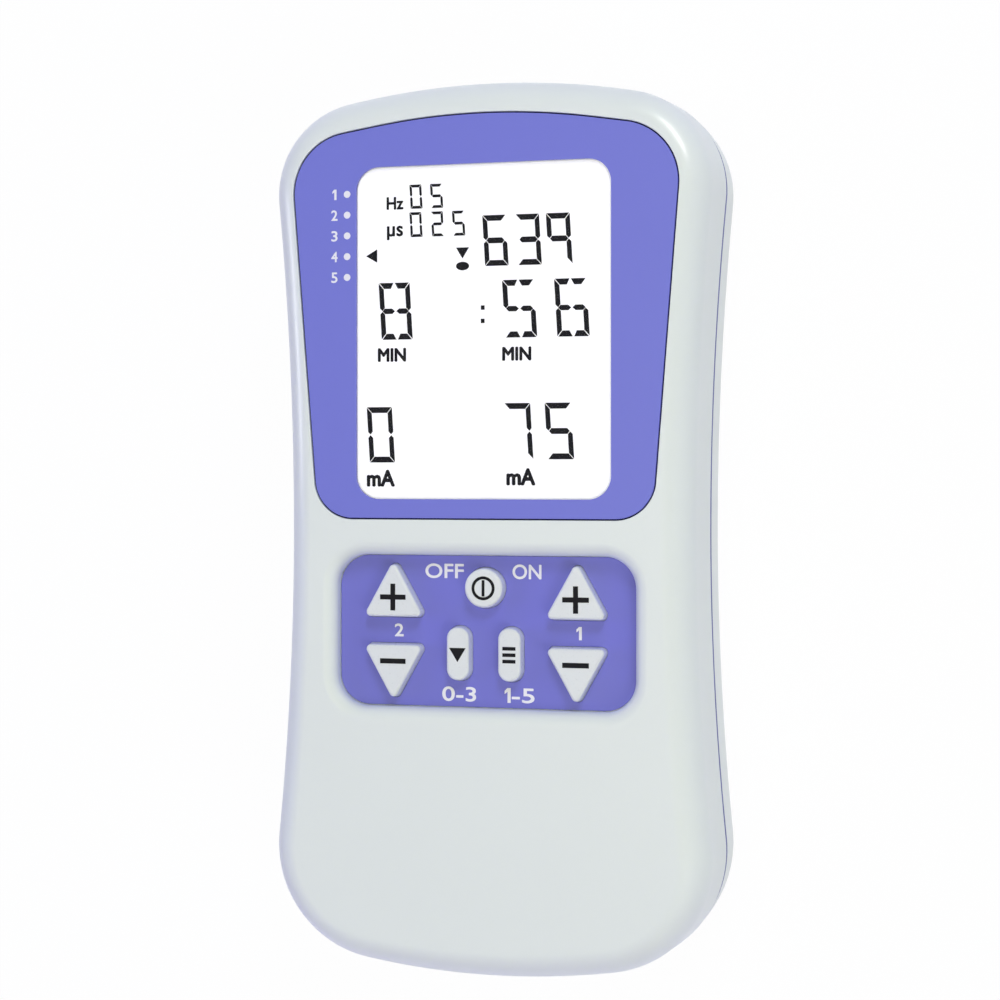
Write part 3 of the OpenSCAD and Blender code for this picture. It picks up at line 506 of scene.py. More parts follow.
def makeFrontCase():
    s, d, k, w, b = caseSizes, displaySizes, keypadSizes, screwSizes, boardScrewSizes
    case = frontSkin()
    lap = s["wall"] - s["tongue"] - fit
    combine(case, "DIFFERENCE", frontHollow(),
            plate("lap", caseOutline(), lap, seam - cut, seam + s["tongueHeight"] + fit))
    combine(case, "UNION", plate("tray", keypadOutline(), -k["trayWall"], trayFoot, ceiling + cut),
            posts(caseScrewPlaces, w["shank"] + w["boss"], w["postTop"] + fit, ceiling + cut),
            posts(boardScrewPlaces, b["shank"] + w["boss"], b["top"], ceiling + cut))
    combine(case, "DIFFERENCE",
            flaredPlate("pocket", displayOutline(), -d["gap"], overlayFoot, face, d["edge"]),
            plate("lensSeat", windowOutline(), -d["lensLip"] - fit, lensFoot, overlayFoot + cut / 2),
            plate("glassOpening", windowOutline(d["glassLip"]), -2 * fit, ceiling - cut, lensFoot + cut / 2),
            flaredPlate("keypadDish", keypadOutline(), 0, trayTop, face, k["lip"], k["lipSteps"]),
            keyOpenings(trayFoot - cut, trayTop + cut),
            posts(caseScrewPlaces, w["shank"] + fit / 2, w["postTop"], ceiling),
            posts(boardScrewPlaces, b["shank"] + fit / 2, b["top"] - cut, ceiling),
            socketHoles())
    smooth(case)
    place(case, "housing", "case_plastic", caseFinish, "front_shell")


# the wedge-edged strip of the back that the battery cover fills
def coverStrip(gap, lowGap):
    b = baySizes
    outer = b["half"] + b["lap"] + gap
    lean = b["wedge"] / b["door"]
    high = b["door"] + gap
    low, wide = outer - lean * lowGap, outer + lean * high
    section = [(-low, -lowGap), (low, -lowGap), (wide, high), (-wide, high)]
    ends = (b["high"] + gap - 2 * halfLength, b["high"] + gap)
    points = [(x, y, z) for y in ends for x, z in section]
    faces = [(0, 1, 2, 3), (7, 6, 5, 4), (0, 4, 5, 1), (1, 5, 6, 2), (2, 6, 7, 3), (3, 7, 4, 0)]
    return meshFrom("coverStrip", points, faces)


def makeRearCase():
    s, b, w = caseSizes, baySizes, screwSizes
    case = rearSkin("rearCase")
    combine(case, "DIFFERENCE", rearHollow())
    rise = s["tongueHeight"]
    tongue = plate("tongue", caseOutline(), s["wall"] - s["tongue"], seam - rise, seam + rise)
    inside = plate("inside", caseOutline(), s["wall"], seam - rise - cut, seam + rise + cut)
    combine(tongue, "DIFFERENCE", inside)
    half, side, low = b["half"], b["half"] + b["wall"], s["floor"] - cut
    back = b["high"] + b["wall"]
    combine(case, "UNION", tongue,
            boxBetween("bayLeft", (-side, b["wallLow"], low), (-half, back, b["top"])),
            boxBetween("bayRight", (half, b["wallLow"], low), (side, back, b["top"])),
            boxBetween("bayBack", (-side, b["high"], low), (side, back, b["top"])),
            posts(caseScrewPlaces, w["head"] + fit + w["boss"], low, w["postTop"]))
    seatR = w["head"] + fit
    seats = [flaredSeat("seat", circle(x, y, seatR), w["mouth"], w["seat"]) for x, y in caseScrewPlaces]
    combine(case, "DIFFERENCE", coverStrip(b["gap"], cut),
            boxBetween("bay", (-half, b["low"], b["door"]), (half, b["high"], seam)),
            posts(caseScrewPlaces, w["shank"] + fit, w["seat"] - cut, w["postTop"] + cut),
            gather("seats", seats), socketHoles())
    smooth(case)
    place(case, "housing", "case_plastic", caseFinish, "rear_shell")


# the cord in the parting line, coloured dark lavender as painted shade, seen as a thin shadow line along the
# side
def makeSealingCord():
    s = caseSizes
    cord = plate("sealingCord", caseOutline(), s["cordInset"], seam, seam + s["cord"])
    inside = plate("inside", caseOutline(), s["seamDepth"] - fit, seam - cut, seam + cut)
    combine(cord, "DIFFERENCE", inside, socketHoles())
    place(cord, "housing", "cord_rubber", cordShadeFinish, "sealing_cord")


makeFrontCase()
makeRearCase()
makeSealingCord()
print("shells ready")


# Geometry node trees for what repeats

def newTree(name, inputs):
    tree = bpy.data.node_groups.new(name, "GeometryNodeTree")
    sockets = {}
    tree.interface.new_socket("Geometry", in_out="INPUT", socket_type="NodeSocketGeometry")
    for label, kind in inputs:
        socket = tree.interface.new_socket(label, in_out="INPUT", socket_type="NodeSocket" + kind)
        sockets[label] = socket.identifier
    tree.interface.new_socket("Geometry", in_out="OUTPUT", socket_type="NodeSocketGeometry")
    return tree, sockets


# copies of the shape on points, made plain geometry with its finish
def copyOnPoints(tree, start, points):
    add, link = tree.nodes.new, tree.links.new
    shape = add("GeometryNodeObjectInfo")
    copies = add("GeometryNodeInstanceOnPoints")
    real = add("GeometryNodeRealizeInstances")
    finish = add("GeometryNodeSetMaterial")
    end = add("NodeGroupOutput")
    link(start.outputs["Shape"], shape.inputs["Object"])
    link(points, copies.inputs["Points"])
    link(shape.outputs["Geometry"], copies.inputs["Instance"])
    link(copies.outputs["Instances"], real.inputs["Geometry"])
    link(real.outputs["Geometry"], finish.inputs["Geometry"])
    link(start.outputs["Material"], finish.inputs["Material"])
    link(finish.outputs["Geometry"], end.inputs["Geometry"])


def rowTree():
    tree, sockets = newTree("row", [
        ("Shape", "Object"), ("Material", "Material"), ("Count", "Int"),
        ("Start", "Vector"), ("Pitch", "Vector"),
    ])
    add, link = tree.nodes.new, tree.links.new
    start = add("NodeGroupInput")
    line = add("GeometryNodeMeshLine")
    link(start.outputs["Count"], line.inputs["Count"])
    link(start.outputs["Start"], line.inputs["Start Location"])
    link(start.outputs["Pitch"], line.inputs["Offset"])
    copyOnPoints(tree, start, line.outputs["Mesh"])
    return tree, sockets


def pointsTree():
    tree, sockets = newTree("points", [("Shape", "Object"), ("Material", "Material")])
    start = tree.nodes.new("NodeGroupInput")
    copyOnPoints(tree, start, start.outputs["Geometry"])
    return tree, sockets


rowNodes = rowTree()
pointNodes = pointsTree()


def runTree(obj, nodes, values):
    tree, sockets = nodes
    step = obj.modifiers.new("repeat", "NODES")
    step.node_group = tree
    for label, value in values.items():
        step[sockets[label]] = value
    bake(obj)
    bpy.data.objects.remove(values["Shape"])
    return obj


def row(name, shape, count, start, pitch, finish):
    return runTree(meshFrom(name, [], []), rowNodes, {
        "Shape": shape, "Material": finish, "Count": count,
        "Start": Vector(start) * mm, "Pitch": Vector(pitch) * mm,
    })


def onPoints(name, shape, points, finish):
    return runTree(meshFrom(name, points, []), pointNodes, {"Shape": shape, "Material": finish})


# Battery cover with a row of rounded grip grooves, and the case screws

coverSizes = {
    "grooves": 6, "pitch": 2.2, "width": 1.1, "length": 15, "corner": 0.528, "depth": 0.5, "first": -20.1,
    "mouth": 0.12, "floor": 0.3, "steps": 4,
}


def makeBatteryCover():
    c = coverSizes
    cover = rearSkin("batteryCover")
    combine(cover, "INTERSECT", coverStrip(0, 0))
    shape = roundedBox(0, 0, c["length"], c["width"], c["corner"])
    lip, bed, bends = c["mouth"], c["floor"], quarterArc(c["steps"])
    rings = [(-lip, -cut)] + [(-lip * (1 - math.sin(a)), lip * (1 - math.cos(a))) for a in bends]
    rings += [(bed * (1 - math.cos(a)), c["depth"] - bed * (1 - math.sin(a))) for a in bends]
    groove = loft("groove", shape, rings)
    grooves = row("grooves", groove, c["grooves"], (0, c["first"], 0), (0, -c["pitch"], 0), caseFinish)
    combine(cover, "DIFFERENCE", grooves)
    smooth(cover)
    place(cover, "battery_cover", "case_plastic", caseFinish, "battery_door")


def makeCaseScrews():
    w = screwSizes
    low, dome = w["seat"] - w["headHeight"], w["dome"]
    bends = quarterArc(w["domeSteps"])
    rings = [(w["head"] - dome * (1 - math.sin(a)), low + dome * (1 - math.cos(a))) for a in bends]
    rings += [(w["head"], w["seat"]), (w["shank"], w["seat"])]
    high = w["seat"] + cut
    while high < w["tip"] - w["thread"]:
        rings += [(w["shank"], high), (w["shank"] - w["threadDepth"], high + w["thread"] / 2)]
        high += w["thread"]
    rings.append((w["shank"] / 2, w["tip"]))
    screw = loft("screw", circle(0, 0, 0, w["steps"]), [(-r, z) for r, z in rings])
    long, wide = 2 * w["slot"], w["slot"] / 2
    bed = low + w["slotDepth"]
    cross = boxBetween("cross", (-long, -wide, low - cut), (long, wide, bed))
    combine(cross, "UNION", boxBetween("bar", (-wide, -long, low - cut), (wide, long, bed)))
    combine(screw, "DIFFERENCE", cross)
    screws = onPoints("caseScrews", screw, [(x, y, 0) for x, y in caseScrewPlaces], steelFinish)
    smooth(screws)
    place(screws, "housing", "screw_steel", None, "case_screws")


makeBatteryCover()
makeCaseScrews()
print("cover and screws ready")


# Flat ink: outlines (x, y) with a little thickness, and words

def inkPlate(name, outlines, low, thick):
    points, faces = [], []
    for outline in outlines:
        area = sum(x0 * y1 - x1 * y0 for (x0, y0), (x1, y1) in zip(outline, outline[1:] + outline[:1]))
        if area < 0:
            outline = outline[::-1]
        start, count = len(points), len(outline)
        points += [(x, y, z) for z in (low, low + thick) for x, y in outline]
        faces.append(tuple(start + i for i in reversed(range(count))))
        faces.append(tuple(start + count + i for i in range(count)))
        for i in range(count):
            j = (i + 1) % count
            faces.append((start + i, start + j, start + count + j, start + count + i))
    obj = meshFrom(name, points, faces)
    weld(obj)
    return obj


def ovalOutline(x, y, rx, ry, steps=48):
    turns = [2 * math.pi * i / steps for i in range(steps)]
    return [(x + rx * math.cos(a), y + ry * math.sin(a)) for a in turns]


def barOutline(x, y, w, h):
    return [(x - w / 2, y - h / 2), (x + w / 2, y - h / 2), (x + w / 2, y + h / 2), (x - w / 2, y + h / 2)]


# the font's words as plain meshes, each (text, x, y, width, height)
def wordMesh(name, words, low, thick):
    points, faces = [], []
    for text, x, y, width, height in words:
        curve = bpy.data.curves.new("words", "FONT")
        curve.body = text
        curve.size = mm
        curve.extrude = thick * mm / 2
        curve.resolution_u = 5
        obj = addObject("words", curve)
        bpy.context.view_layer.update()
        mesh = bpy.data.meshes.new_from_object(obj.evaluated_get(bpy.context.evaluated_depsgraph_get()))
        bpy.data.objects.remove(obj)
        bpy.data.curves.remove(curve)
        corners = [[v.co[k] for v in mesh.vertices] for k in range(3)]
        start = len(points)
        for v in mesh.vertices:
            u = [(v.co[k] - min(corners[k])) / (max(corners[k]) - min(corners[k])) for k in range(3)]
            points.append((x + (u[0] - 0.5) * width, y + (u[1] - 0.5) * height, low + u[2] * thick))
        faces += [tuple(start + i for i in f.vertices) for f in mesh.polygons]
        bpy.data.meshes.remove(mesh)
    obj = meshFrom(name, points, faces)
    weld(obj)
    return obj


# thickens flat ink by joining it with copies moved round a small circle
def embolden(obj, weight, steps=8):
    copies = []
    for i in range(steps):
        a = 2 * math.pi * i / steps
        copy = addObject("copy", obj.data.copy())
        copy.data.transform(Matrix.Translation((weight * mm * math.cos(a), weight * mm * math.sin(a), 0)))
        copies.append(copy)
    combine(obj, "UNION", *copies)


def inkWords(name, words, low, thick, weight):
    slim = [(text, x, y, width - 2 * weight, height - 2 * weight) for text, x, y, width, height in words]
    obj = wordMesh(name, slim, low, thick)
    embolden(obj, weight)
    return obj


# shares of the figure's height
oneShares = {"width": 0.42, "stem": 0.22, "flag": 0.2}


# the figure one, with the flag that the font's has not
def oneOutline(x, y, height):
    w, stem, drop = [oneShares[k] * height for k in ("width", "stem", "flag")]
    left, right, top, low = x - w / 2, x + w / 2, y + height / 2, y - height / 2
    flag = top - drop
    return [
        (right - stem, low), (right, low), (right, top), (right - stem, top),
        (left, flag), (left, flag - stem), (right - stem, flag - stem / 4),
    ]


# Display: overlay, a dark ring of painted shade in its gap, lens, white film with a painted glow, segments
# and words

overlaySizes = {
    "edge": 0.08, "edgeIn": 0.03, "edgeDown": 0.02, "shadeGap": 0.01, "shadeLow": 0.005, "shadeTop": 0.1,
}
filmSizes = {"wall": 0.15, "gap": 0.02, "low": 28.45, "top": 28.53, "roof": 28.56, "lensEdge": 0.1}
# gap, upright strokes and the ends of split strokes are shares of the stroke
displayInk = {
    "thick": 0.015, "lean": -0.06, "gap": 0.07, "upright": 0.85,
    "splitGap": 0.12, "splitSlant": 0.5, "splitHalf": 0.45,
}
segmentsOf = {
    "0": "abcdef", "2": "abged", "3": "abgcd", "5": "afgcd", "6": "afgedc", "7": "abc", "8": "abcdefg",
    "9": "abfgc",
}
# digits, their left edges, width, lower edge, height, stroke, split strokes
displayRows = [
    ("05", (-10.56, -7.52), 1.75, 45.33, 3.4, 0.4, False),
    ("025", (-10.56, -7.4, -4.29), 1.75, 41.33, 3.5, 0.4, False),
    ("639", (0.24, 5.02, 9.4), 3.4, 36.95, 7.1, 0.8, False),
    ("856", (-15.0, 3.13, 10.6), 4.6, 26.88, 8.05, 0.84, True),
    ("0", (-16.78,), 3.75, 9.48, 7.85, 0.82, False),
    ("75", (3.43, 9.25), 3.75, 9.88, 7.85, 0.82, False),
]
displayColon = {"x": 0.1, "high": 31.15, "low": 29.28, "width": 0.55, "height": 0.62}
displayMarks = {
    "arrow": [(-17.1, 38.8), (-15.45, 37.85), (-15.45, 39.75)],
    "drop": [(-3.8, 39.65), (-2.85, 38.1), (-1.9, 39.65)],
    "oval": (-2.84, 37.04, 0.96, 0.6),
}
# text, middle, width, height, weight
displayWords = [
    ("Hz", -12.8, 46.2, 2.5, 1.8, 0.07), ("µs", -12.8, 42.0, 2.4, 2.0, 0.07),
    ("MIN", -13.25, 24.72, 4.2, 1.95, 0.1), ("MIN", 5.02, 24.62, 4.2, 1.95, 0.1),
    ("mA", -14.9, 7.25, 4.2, 2.4, 0.13), ("mA", 5.62, 7.45, 4.2, 2.4, 0.13),
]


def makeOverlay():
    o = overlaySizes
    rim = [(0, overlayTop - o["edge"]), (o["edgeIn"], overlayTop - o["edgeDown"]), (o["edge"], overlayTop)]
    overlay = loft("displayOverlay", displayOutline(), [(0, overlayFoot)] + rim)
    combine(overlay, "DIFFERENCE", plate("window", windowOutline(), 0, overlayFoot - cut, overlayTop + cut))
    smooth(overlay)
    place(overlay, "housing", "overlay_film", overlayFinish, "display_overlay")
    # the dark ring at the foot of the gap is painted shade, standing for the gap's shadow
    outer = o["shadeGap"] - displaySizes["gap"]
    low, high = overlayFoot + o["shadeLow"], overlayFoot + o["shadeTop"]
    shadeRing = plate("overlayGlue", displayOutline(), outer, low, high)
    inside = plate("inside", displayOutline(), -o["shadeGap"], overlayFoot - cut, overlayTop + cut)
    combine(shadeRing, "DIFFERENCE", inside)
    place(shadeRing, "housing", "overlay_film", gapShadeFinish)


# the lens is hollow under its window, and the white film of the display lies in that hollow; the film glows a
# little, painted light that lifts the shade at the window's edges
def makeLens():
    f, edge = filmSizes, fit / 2
    lip = f["lensEdge"]
    lens = plate("displayLens", windowOutline(), -displaySizes["lensLip"], lensFoot, overlayFoot)
    rings = [(edge, lensFoot), (edge, overlayTop - lip), (edge + lip, overlayTop)]
    boss = loft("boss", windowOutline(), rings)
    combine(lens, "UNION", boss)
    combine(lens, "DIFFERENCE", plate("hollow", windowOutline(), f["wall"], lensFoot - cut, f["roof"]))
    smooth(lens)
    place(lens, "housing", "clear_lens", lensFinish, "display_lens")
    film = plate("displayFilm", windowOutline(), f["wall"] + f["gap"], f["low"], f["top"])
    place(film, "housing", "display_glass", glowingFilmFinish)


# outlines of a digit's strokes in a box of w by h, from its lower left corner; t level, v upright strokes
def digitStrokes(digit, w, h, t, split):
    v, g = displayInk["upright"] * t, displayInk["gap"] * t
    q, n, k = [displayInk[name] * t for name in ("splitGap", "splitSlant", "splitHalf")]
    c, m = w / 2, h / 2
    strokes = {
        "a": [[(g, h), (w - g, h), (w - v - g, h - t), (v + g, h - t)]],
        "g": [[(v / 2 + g, m), (v + g, m + t / 2), (w - v - g, m + t / 2), (w - v / 2 - g, m),
               (w - v - g, m - t / 2), (v + g, m - t / 2)]],
        "f": [[(0, h - g), (v, h - t - g), (v, m + t / 2 + g), (v / 2, m + g), (0, m + t / 2)]],
    }
    if split:
        strokes["a"] = [[(2 * g, h), (c - q, h), (c - q - n, h - t), (v + g, h - t)]]
        strokes["g"] = [[(v / 2, m), (v, m + k), (c - q - n, m + k), (c - q, m),
                         (c - q - n, m - k), (v, m - k)]]
        for name in "ag":
            strokes[name].append([(w - x, y) for x, y in strokes[name][0]])
    strokes["d"] = [[(x, h - y) for x, y in shape] for shape in strokes["a"]]
    strokes["e"] = [[(x, h - y) for x, y in shape] for shape in strokes["f"]]
    for name, other in ("bf", "ce"):
        strokes[name] = [[(w - x, y) for x, y in shape] for shape in strokes[other]]
    return [shape for name in segmentsOf[digit] for shape in strokes[name]]


def makeDisplayInk():
    low, thick, lean = filmSizes["top"], displayInk["thick"], displayInk["lean"]
    outlines = []
    for digits, lefts, width, foot, height, stroke, split in displayRows:
        for digit, left in zip(digits, lefts):
            for shape in digitStrokes(digit, width, height, stroke, split):
                outlines.append([(left + x + lean * (y - height / 2), foot + y) for x, y in shape])
    colon = displayColon
    outlines += [barOutline(colon["x"], colon[k], colon["width"], colon["height"]) for k in ("high", "low")]
    outlines += [displayMarks["arrow"], displayMarks["drop"], ovalOutline(*displayMarks["oval"])]
    digits = inkPlate("displayDigits", outlines, low, thick)
    place(digits, "housing", "display_glass", segmentFinish)
    for i, (text, x, y, width, height, weight) in enumerate(displayWords):
        word = inkWords("displayWord." + str(i + 1), [(text, x, y, width, height)], low, thick, weight)
        place(word, "housing", "display_glass", segmentFinish)


# five mode dots with their numbers
modeMarks = {
    "count": 5, "x": -19.84, "first": 47.66, "pitch": 2.955, "radius": 0.5, "bevel": 0.03, "thick": 0.02,
    "numberX": -21.75, "height": 1.5, "width": 0.95, "weight": 0.04, "steps": 32,
}


def makeModeMarks():
    m = modeMarks
    rings = [(0, 0), (0, m["thick"] / 2), (m["bevel"], m["thick"])]
    dot = loft("dot", circle(0, 0, m["radius"], m["steps"]), rings)
    start, pitch = (m["x"], m["first"], overlayTop), (0, -m["pitch"], 0)
    dots = row("modeDots", dot, m["count"], start, pitch, whiteInkFinish)
    place(dots, "housing", "overlay_film", None)
    one = inkPlate("modeOne", [oneOutline(m["numberX"], m["first"], m["height"])], overlayTop, m["thick"])
    words = [
        (str(i + 1), m["numberX"], m["first"] - i * m["pitch"], m["width"], m["height"])
        for i in range(1, m["count"])
    ]
    numbers = inkWords("modeNumbers", words, overlayTop, m["thick"], m["weight"])
    for obj in (one, numbers):
        place(obj, "housing", "overlay_film", whiteInkFinish)


makeOverlay()
makeLens()
makeDisplayInk()
makeModeMarks()
print("display ready")


# Keypad: panel, labels, seven keys and their signs

keySizes = {
    "flange": 0.7, "flangeWidth": 0.6, "taper": 0.15, "round": 0.4, "roundSteps": 8, "crease": 40,
    "stem": 1.2, "stemRise": 0.3,
}
# text, middle, width, height
keypadLabels = [
    ("OFF", -6.1, -5.9, 5.7, 2.1), ("ON", 5.95, -5.9, 4.2, 2.1), ("2", -12.85, -14.4, 1.35, 1.85),
    ("0-3", -3.95, -23.3, 5.0, 2.1), ("-5", 5.4, -23.3, 3.3, 2.1),
]
# middle and height of the figures one
keypadOnes = [(13.45, -14.4, 1.85), (3.15, -23.3, 2.1)]
signSizes = {
    "thick": 0.02, "labelWeight": 0.05, "plusY": -9.63, "minusY": -18.72, "long": 3.8, "bar": 0.72,
    "ring": 1.68, "stroke": 0.42, "ringBar": 2.3, "arrowHalf": 1.22, "arrowTop": 0.85, "arrowTip": -1.15,
    "lineWidth": 1.9, "line": 0.5, "linePitch": 0.9,
}


def makePanel():
    edge = keypadSizes["panelEdge"]
    rings = [(fit, trayTop), (fit, panelTop - edge), (fit + edge, panelTop)]
    panel = loft("keypadPanel", keypadOutline(), rings)
    combine(panel, "DIFFERENCE", keyOpenings(trayTop - cut, panelTop + cut))
    smooth(panel)
    place(panel, "housing", "keypad_film", keypadFinish, "keypad_panel")
    thick = signSizes["thick"]
    words = inkWords("keypadLabels", keypadLabels, panelTop, thick, signSizes["labelWeight"])
    ones = inkPlate("keypadOnes", [oneOutline(*one) for one in keypadOnes], panelTop, thick)
    for obj in (words, ones):
        place(obj, "housing", "keypad_film", whiteInkFinish)


def makeKey(name):
    k = keySizes
    soft, bends = k["round"], quarterArc(k["roundSteps"])
    shape, at = keyShapes[name]
    low = keyFoot + k["stemRise"]
    crown = [(0, low), (0, panelTop)]
    crown += [(k["taper"] + soft * (1 - math.cos(a)), keyTop - soft * (1 - math.sin(a))) for a in bends]
    key = loft("key." + name, shape, crown)
    combine(key, "UNION", plate("flange", shape, -k["flangeWidth"], low, low + k["flange"]),
            post("stem", at, k["stem"], keyFoot, low + k["flange"]))
    smooth(key, k["crease"])
    place(key, name + "_key", "key_plastic", keyFinish, "key_" + name)


def ringOutlines(x, y, r, stroke, steps=64):
    outer = ovalOutline(x, y, r, r, steps)
    inner = ovalOutline(x, y, r - stroke, r - stroke, steps)
    return [[outer[i - 1], outer[i], inner[i], inner[i - 1]] for i in range(steps)]


def signOutlines():
    s = signSizes
    long, bar = s["long"], s["bar"]
    arm = (long - bar) / 2
    reach = (arm + bar) / 2
    signs = {}
    for name, x in (("a", columnX), ("b", -columnX)):
        signs["plus_" + name] = [
            barOutline(x, s["plusY"], long, bar),
            barOutline(x, s["plusY"] + reach, bar, arm), barOutline(x, s["plusY"] - reach, bar, arm),
        ]
        signs["minus_" + name] = [barOutline(x, s["minusY"], long, bar)]
    ring = ringOutlines(*powerAt, s["ring"], s["stroke"])
    signs["power"] = ring + [barOutline(*powerAt, s["stroke"], s["ringBar"])]
    signs["set"] = [[
        (-oblongX - s["arrowHalf"], oblongY + s["arrowTop"]), (-oblongX, oblongY + s["arrowTip"]),
        (-oblongX + s["arrowHalf"], oblongY + s["arrowTop"]),
    ]]
    lines = [oblongY + i * s["linePitch"] for i in (-1, 0, 1)]
    signs["program"] = [barOutline(oblongX, y, s["lineWidth"], s["line"]) for y in lines]
    return signs


makePanel()
for keyName in keyShapes:
    makeKey(keyName)
for keyName, outlines in signOutlines().items():
    sign = inkPlate("sign." + keyName, outlines, keyTop, signSizes["thick"])
    place(sign, keyName + "_key", "key_plastic", inkFinish)
print("keypad ready")


# Lead sockets at the top end

def makeSockets():
    s = socketSizes
    bore, mouth, top, soft = s["bore"], s["mouth"], s["noseY"], s["round"]
    inside, foot = bore + s["sleeve"], top - s["depth"]
    hole, half = inside + s["sleeveGap"], s["width"] / 2
    bends = quarterArc(s["roundSteps"])
    rim = [(s["nose"] - soft * (1 - math.cos(a)), top - soft * (1 - math.sin(a))) for a in bends]
    flared = [(bore, foot - cut), (bore, top - mouth), (bore + mouth, top), (bore + mouth, top + cut)]
    noses, sleeves = [], []
    for x in socketPlaces:
        nose = boxBetween("block", (x - half, s["back"], seam - s["nose"]),
                          (x + half, s["back"] + s["blockLength"], s["blockTop"]))
        combine(nose, "UNION", turnedY("nose", x, seam, [(s["nose"], s["back"] + cut)] + rim))
        combine(nose, "DIFFERENCE", turnedY("hole", x, seam, [(hole, foot), (hole, top + cut)]))
        noses.append(nose)
        sleeve = turnedY("sleeve", x, seam, [(inside, foot), (inside, top)])
        combine(sleeve, "DIFFERENCE", turnedY("bore", x, seam, flared))
        sleeves.append(sleeve)
    for name, parts, slot, finish in (
        ("lead_sockets", noses, "dark_plastic", darkFinish),
        ("lead_sleeves", sleeves, "bright_metal", metalFinish),
    ):
        obj = gather(name.replace("_s", "S"), parts)
        smooth(obj)
        place(obj, "housing", slot, finish, name)


makeSockets()
print("sockets ready")


# Finishes of the solids that keep their shape

# the LCD glass takes the display film's painted glow
solidFinishes = {
    "lcd_glass": glowingFilmFinish, "display_seal": foamFinish, "lcd_holder": darkFinish,
    "contact_strips": rubberFinish, "key_switches": switchFinish, "main_board": boardFinish,
    "microcontroller": darkFinish, "crystal": metalFinish,
    "buzzer": darkFinish, "capacitors": sleeveFinish, "transformer_cores": ferriteFinish,
    "transformer_coils": copperFinish, "battery": batteryFinish, "battery_terminals": metalFinish,
    "contact_plate": darkFinish, "snap_contacts": metalFinish, "contact_tabs": metalFinish,
    "insulating_sheet": sheetFinish, "board_screws": steelFinish,
    **{"plunger_" + name: darkFinish for name in keyShapes},
}
for nodeName, finish in solidFinishes.items():
    for slot in cadNodes[nodeName].material_slots:
        slot.material = finish


# Floor, light and camera; floor and lamps in metres, aims and the camera's distance in millimetres

stageSizes = {"floor": 3, "white": 0.97, "paper": (0.86, 0.87, 0.9, 1), "rough": 0.9}
worldLight = {"color": (0.8, 0.8, 1, 1), "strength": 0.1}
# lamps round the object: turn from the right side, rise above the floor, width and height, power in watts
lampDistance = 0.9
lights = {
    "front": {"turn": 0, "rise": 90, "size": (0.4, 0.4), "power": 3.35, "color": (1, 0.98, 0.56)},
    "topRight": {"turn": 72, "rise": 34, "size": (0.3, 0.3), "power": 4.4, "color": (0.69, 0.71, 0.98)},
    "lowRight": {"turn": -35, "rise": 40, "size": (0.4, 0.4), "power": 2.6, "color": (0.95, 0.96, 1)},
    "left": {"turn": 180, "rise": 20, "size": (0.4, 0.4), "power": 2.9, "color": (0.36, 0.35, 1)},
    "foot": {"turn": -90, "rise": 20, "size": (0.4, 0.4), "power": 1.8, "color": (0.26, 0.2, 1)},
}
# small lamps that only show as glints on the rounded edges
glints = {
    "cornerGlint": {
        "aim": (25, 56, 27), "reach": 0.04, "turn": 45, "rise": 34, "size": (0.026, 0.005), "power": 0.015,
    },
    "leftGlint": {
        "aim": (-31, 28, 26), "reach": 0.05, "turn": 177, "rise": 21, "size": (0.045, 0.01), "power": 0.014,
    },
}
glintColor = (1, 1, 1)
cameraView = {
    "turn": 15, "distance": 281.03, "aim": (2.73, 7.7, 29), "lens": 72.54, "sensor": 36, "shiftY": -0.025,
    "near": 0.01,
}


# white to the eye, to gloss and through glass by the given share; elsewhere the other shader
def whiteToEye(tree, other, white, share):
    add, link = tree.nodes.new, tree.links.new
    path = add("ShaderNodeLightPath")
    seen, seenToo, part = [add("ShaderNodeMath") for _ in range(3)]
    seen.operation = seenToo.operation = "MAXIMUM"
    part.operation = "MULTIPLY"
    part.inputs[1].default_value = share
    link(path.outputs["Is Camera Ray"], seen.inputs[0])
    link(path.outputs["Is Glossy Ray"], seen.inputs[1])
    link(seen.outputs[0], seenToo.inputs[0])
    link(path.outputs["Is Transmission Ray"], seenToo.inputs[1])
    link(seenToo.outputs[0], part.inputs[0])
    mix = add("ShaderNodeMixShader")
    link(part.outputs[0], mix.inputs["Fac"])
    link(other, mix.inputs[1])
    link(white, mix.inputs[2])
    return mix.outputs["Shader"]


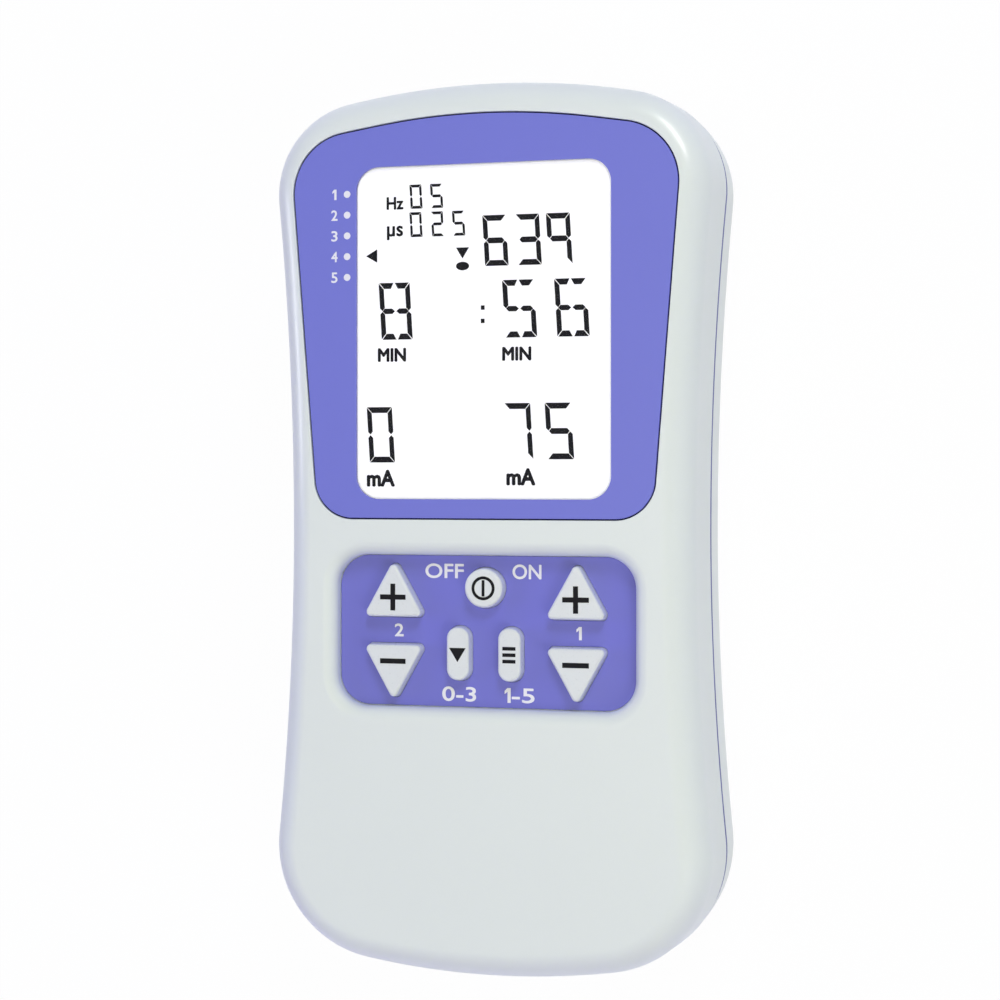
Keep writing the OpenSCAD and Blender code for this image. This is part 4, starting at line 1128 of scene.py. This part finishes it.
def makeFloor():
    half = stageSizes["floor"] / mm / 2
    corners = [(-half, -half, 0), (half, -half, 0), (half, half, 0), (-half, half, 0)]
    floor = meshFrom("floor", corners, [(0, 1, 2, 3)])
    paper = bpy.data.materials.new("paper")
    paper.use_nodes = True
    tree = paper.node_tree
    shader = tree.nodes["Principled BSDF"]
    shader.inputs["Base Color"].default_value = stageSizes["paper"]
    shader.inputs["Roughness"].default_value = stageSizes["rough"]
    glow = tree.nodes.new("ShaderNodeEmission")
    seen = whiteToEye(tree, shader.outputs["BSDF"], glow.outputs["Emission"], stageSizes["white"])
    tree.links.new(seen, tree.nodes["Material Output"].inputs["Surface"])
    floor.data.materials.append(paper)


def makeWorld():
    world = bpy.data.worlds.new("studio")
    scene.world = world
    world.use_nodes = True
    tree = world.node_tree
    soft = tree.nodes["Background"]
    soft.inputs["Color"].default_value = worldLight["color"]
    soft.inputs["Strength"].default_value = worldLight["strength"]
    white = tree.nodes.new("ShaderNodeBackground")
    white.inputs["Color"].default_value = (1, 1, 1, 1)
    seen = whiteToEye(tree, soft.outputs["Background"], white.outputs["Background"], 1)
    tree.links.new(seen, tree.nodes["World Output"].inputs["Surface"])


def makeLamp(name, s, aim, reach, color):
    lamp = bpy.data.lights.new(name, "AREA")
    lamp.shape = "RECTANGLE"
    lamp.size, lamp.size_y = s["size"]
    lamp.energy = s["power"]
    lamp.color = color
    turn, rise = math.radians(s["turn"]), math.radians(s["rise"])
    way = Vector((math.cos(rise) * math.cos(turn), math.cos(rise) * math.sin(turn), math.sin(rise)))
    obj = addObject(name, lamp)
    obj.location = Vector(aim) * mm + way * reach
    obj.rotation_euler = (-way).to_track_quat("-Z", "Y").to_euler()
    obj.visible_camera = False
    return obj


def makeCamera():
    c = cameraView
    lens = bpy.data.cameras.new("camera")
    lens.lens = c["lens"]
    lens.sensor_width = c["sensor"]
    lens.shift_y = c["shiftY"]
    lens.clip_start = c["near"]
    obj = addObject("camera", lens)
    turn = math.radians(c["turn"])
    reach = Vector((math.sin(turn), 0, math.cos(turn))) * c["distance"]
    obj.location = (Vector(c["aim"]) + reach) * mm
    obj.rotation_euler = (0, turn, 0)
    scene.camera = obj


makeFloor()
makeWorld()
for lampName, settings in lights.items():
    lampObj = makeLamp(lampName, settings, (0, 0, face), lampDistance, settings["color"])
    lampObj.visible_glossy = False
for lampName, settings in glints.items():
    lampObj = makeLamp(lampName, settings, settings["aim"], settings["reach"], glintColor)
    lampObj.visible_diffuse = False
makeCamera()
scene.view_settings.view_transform = "Standard"
print("stage ready")
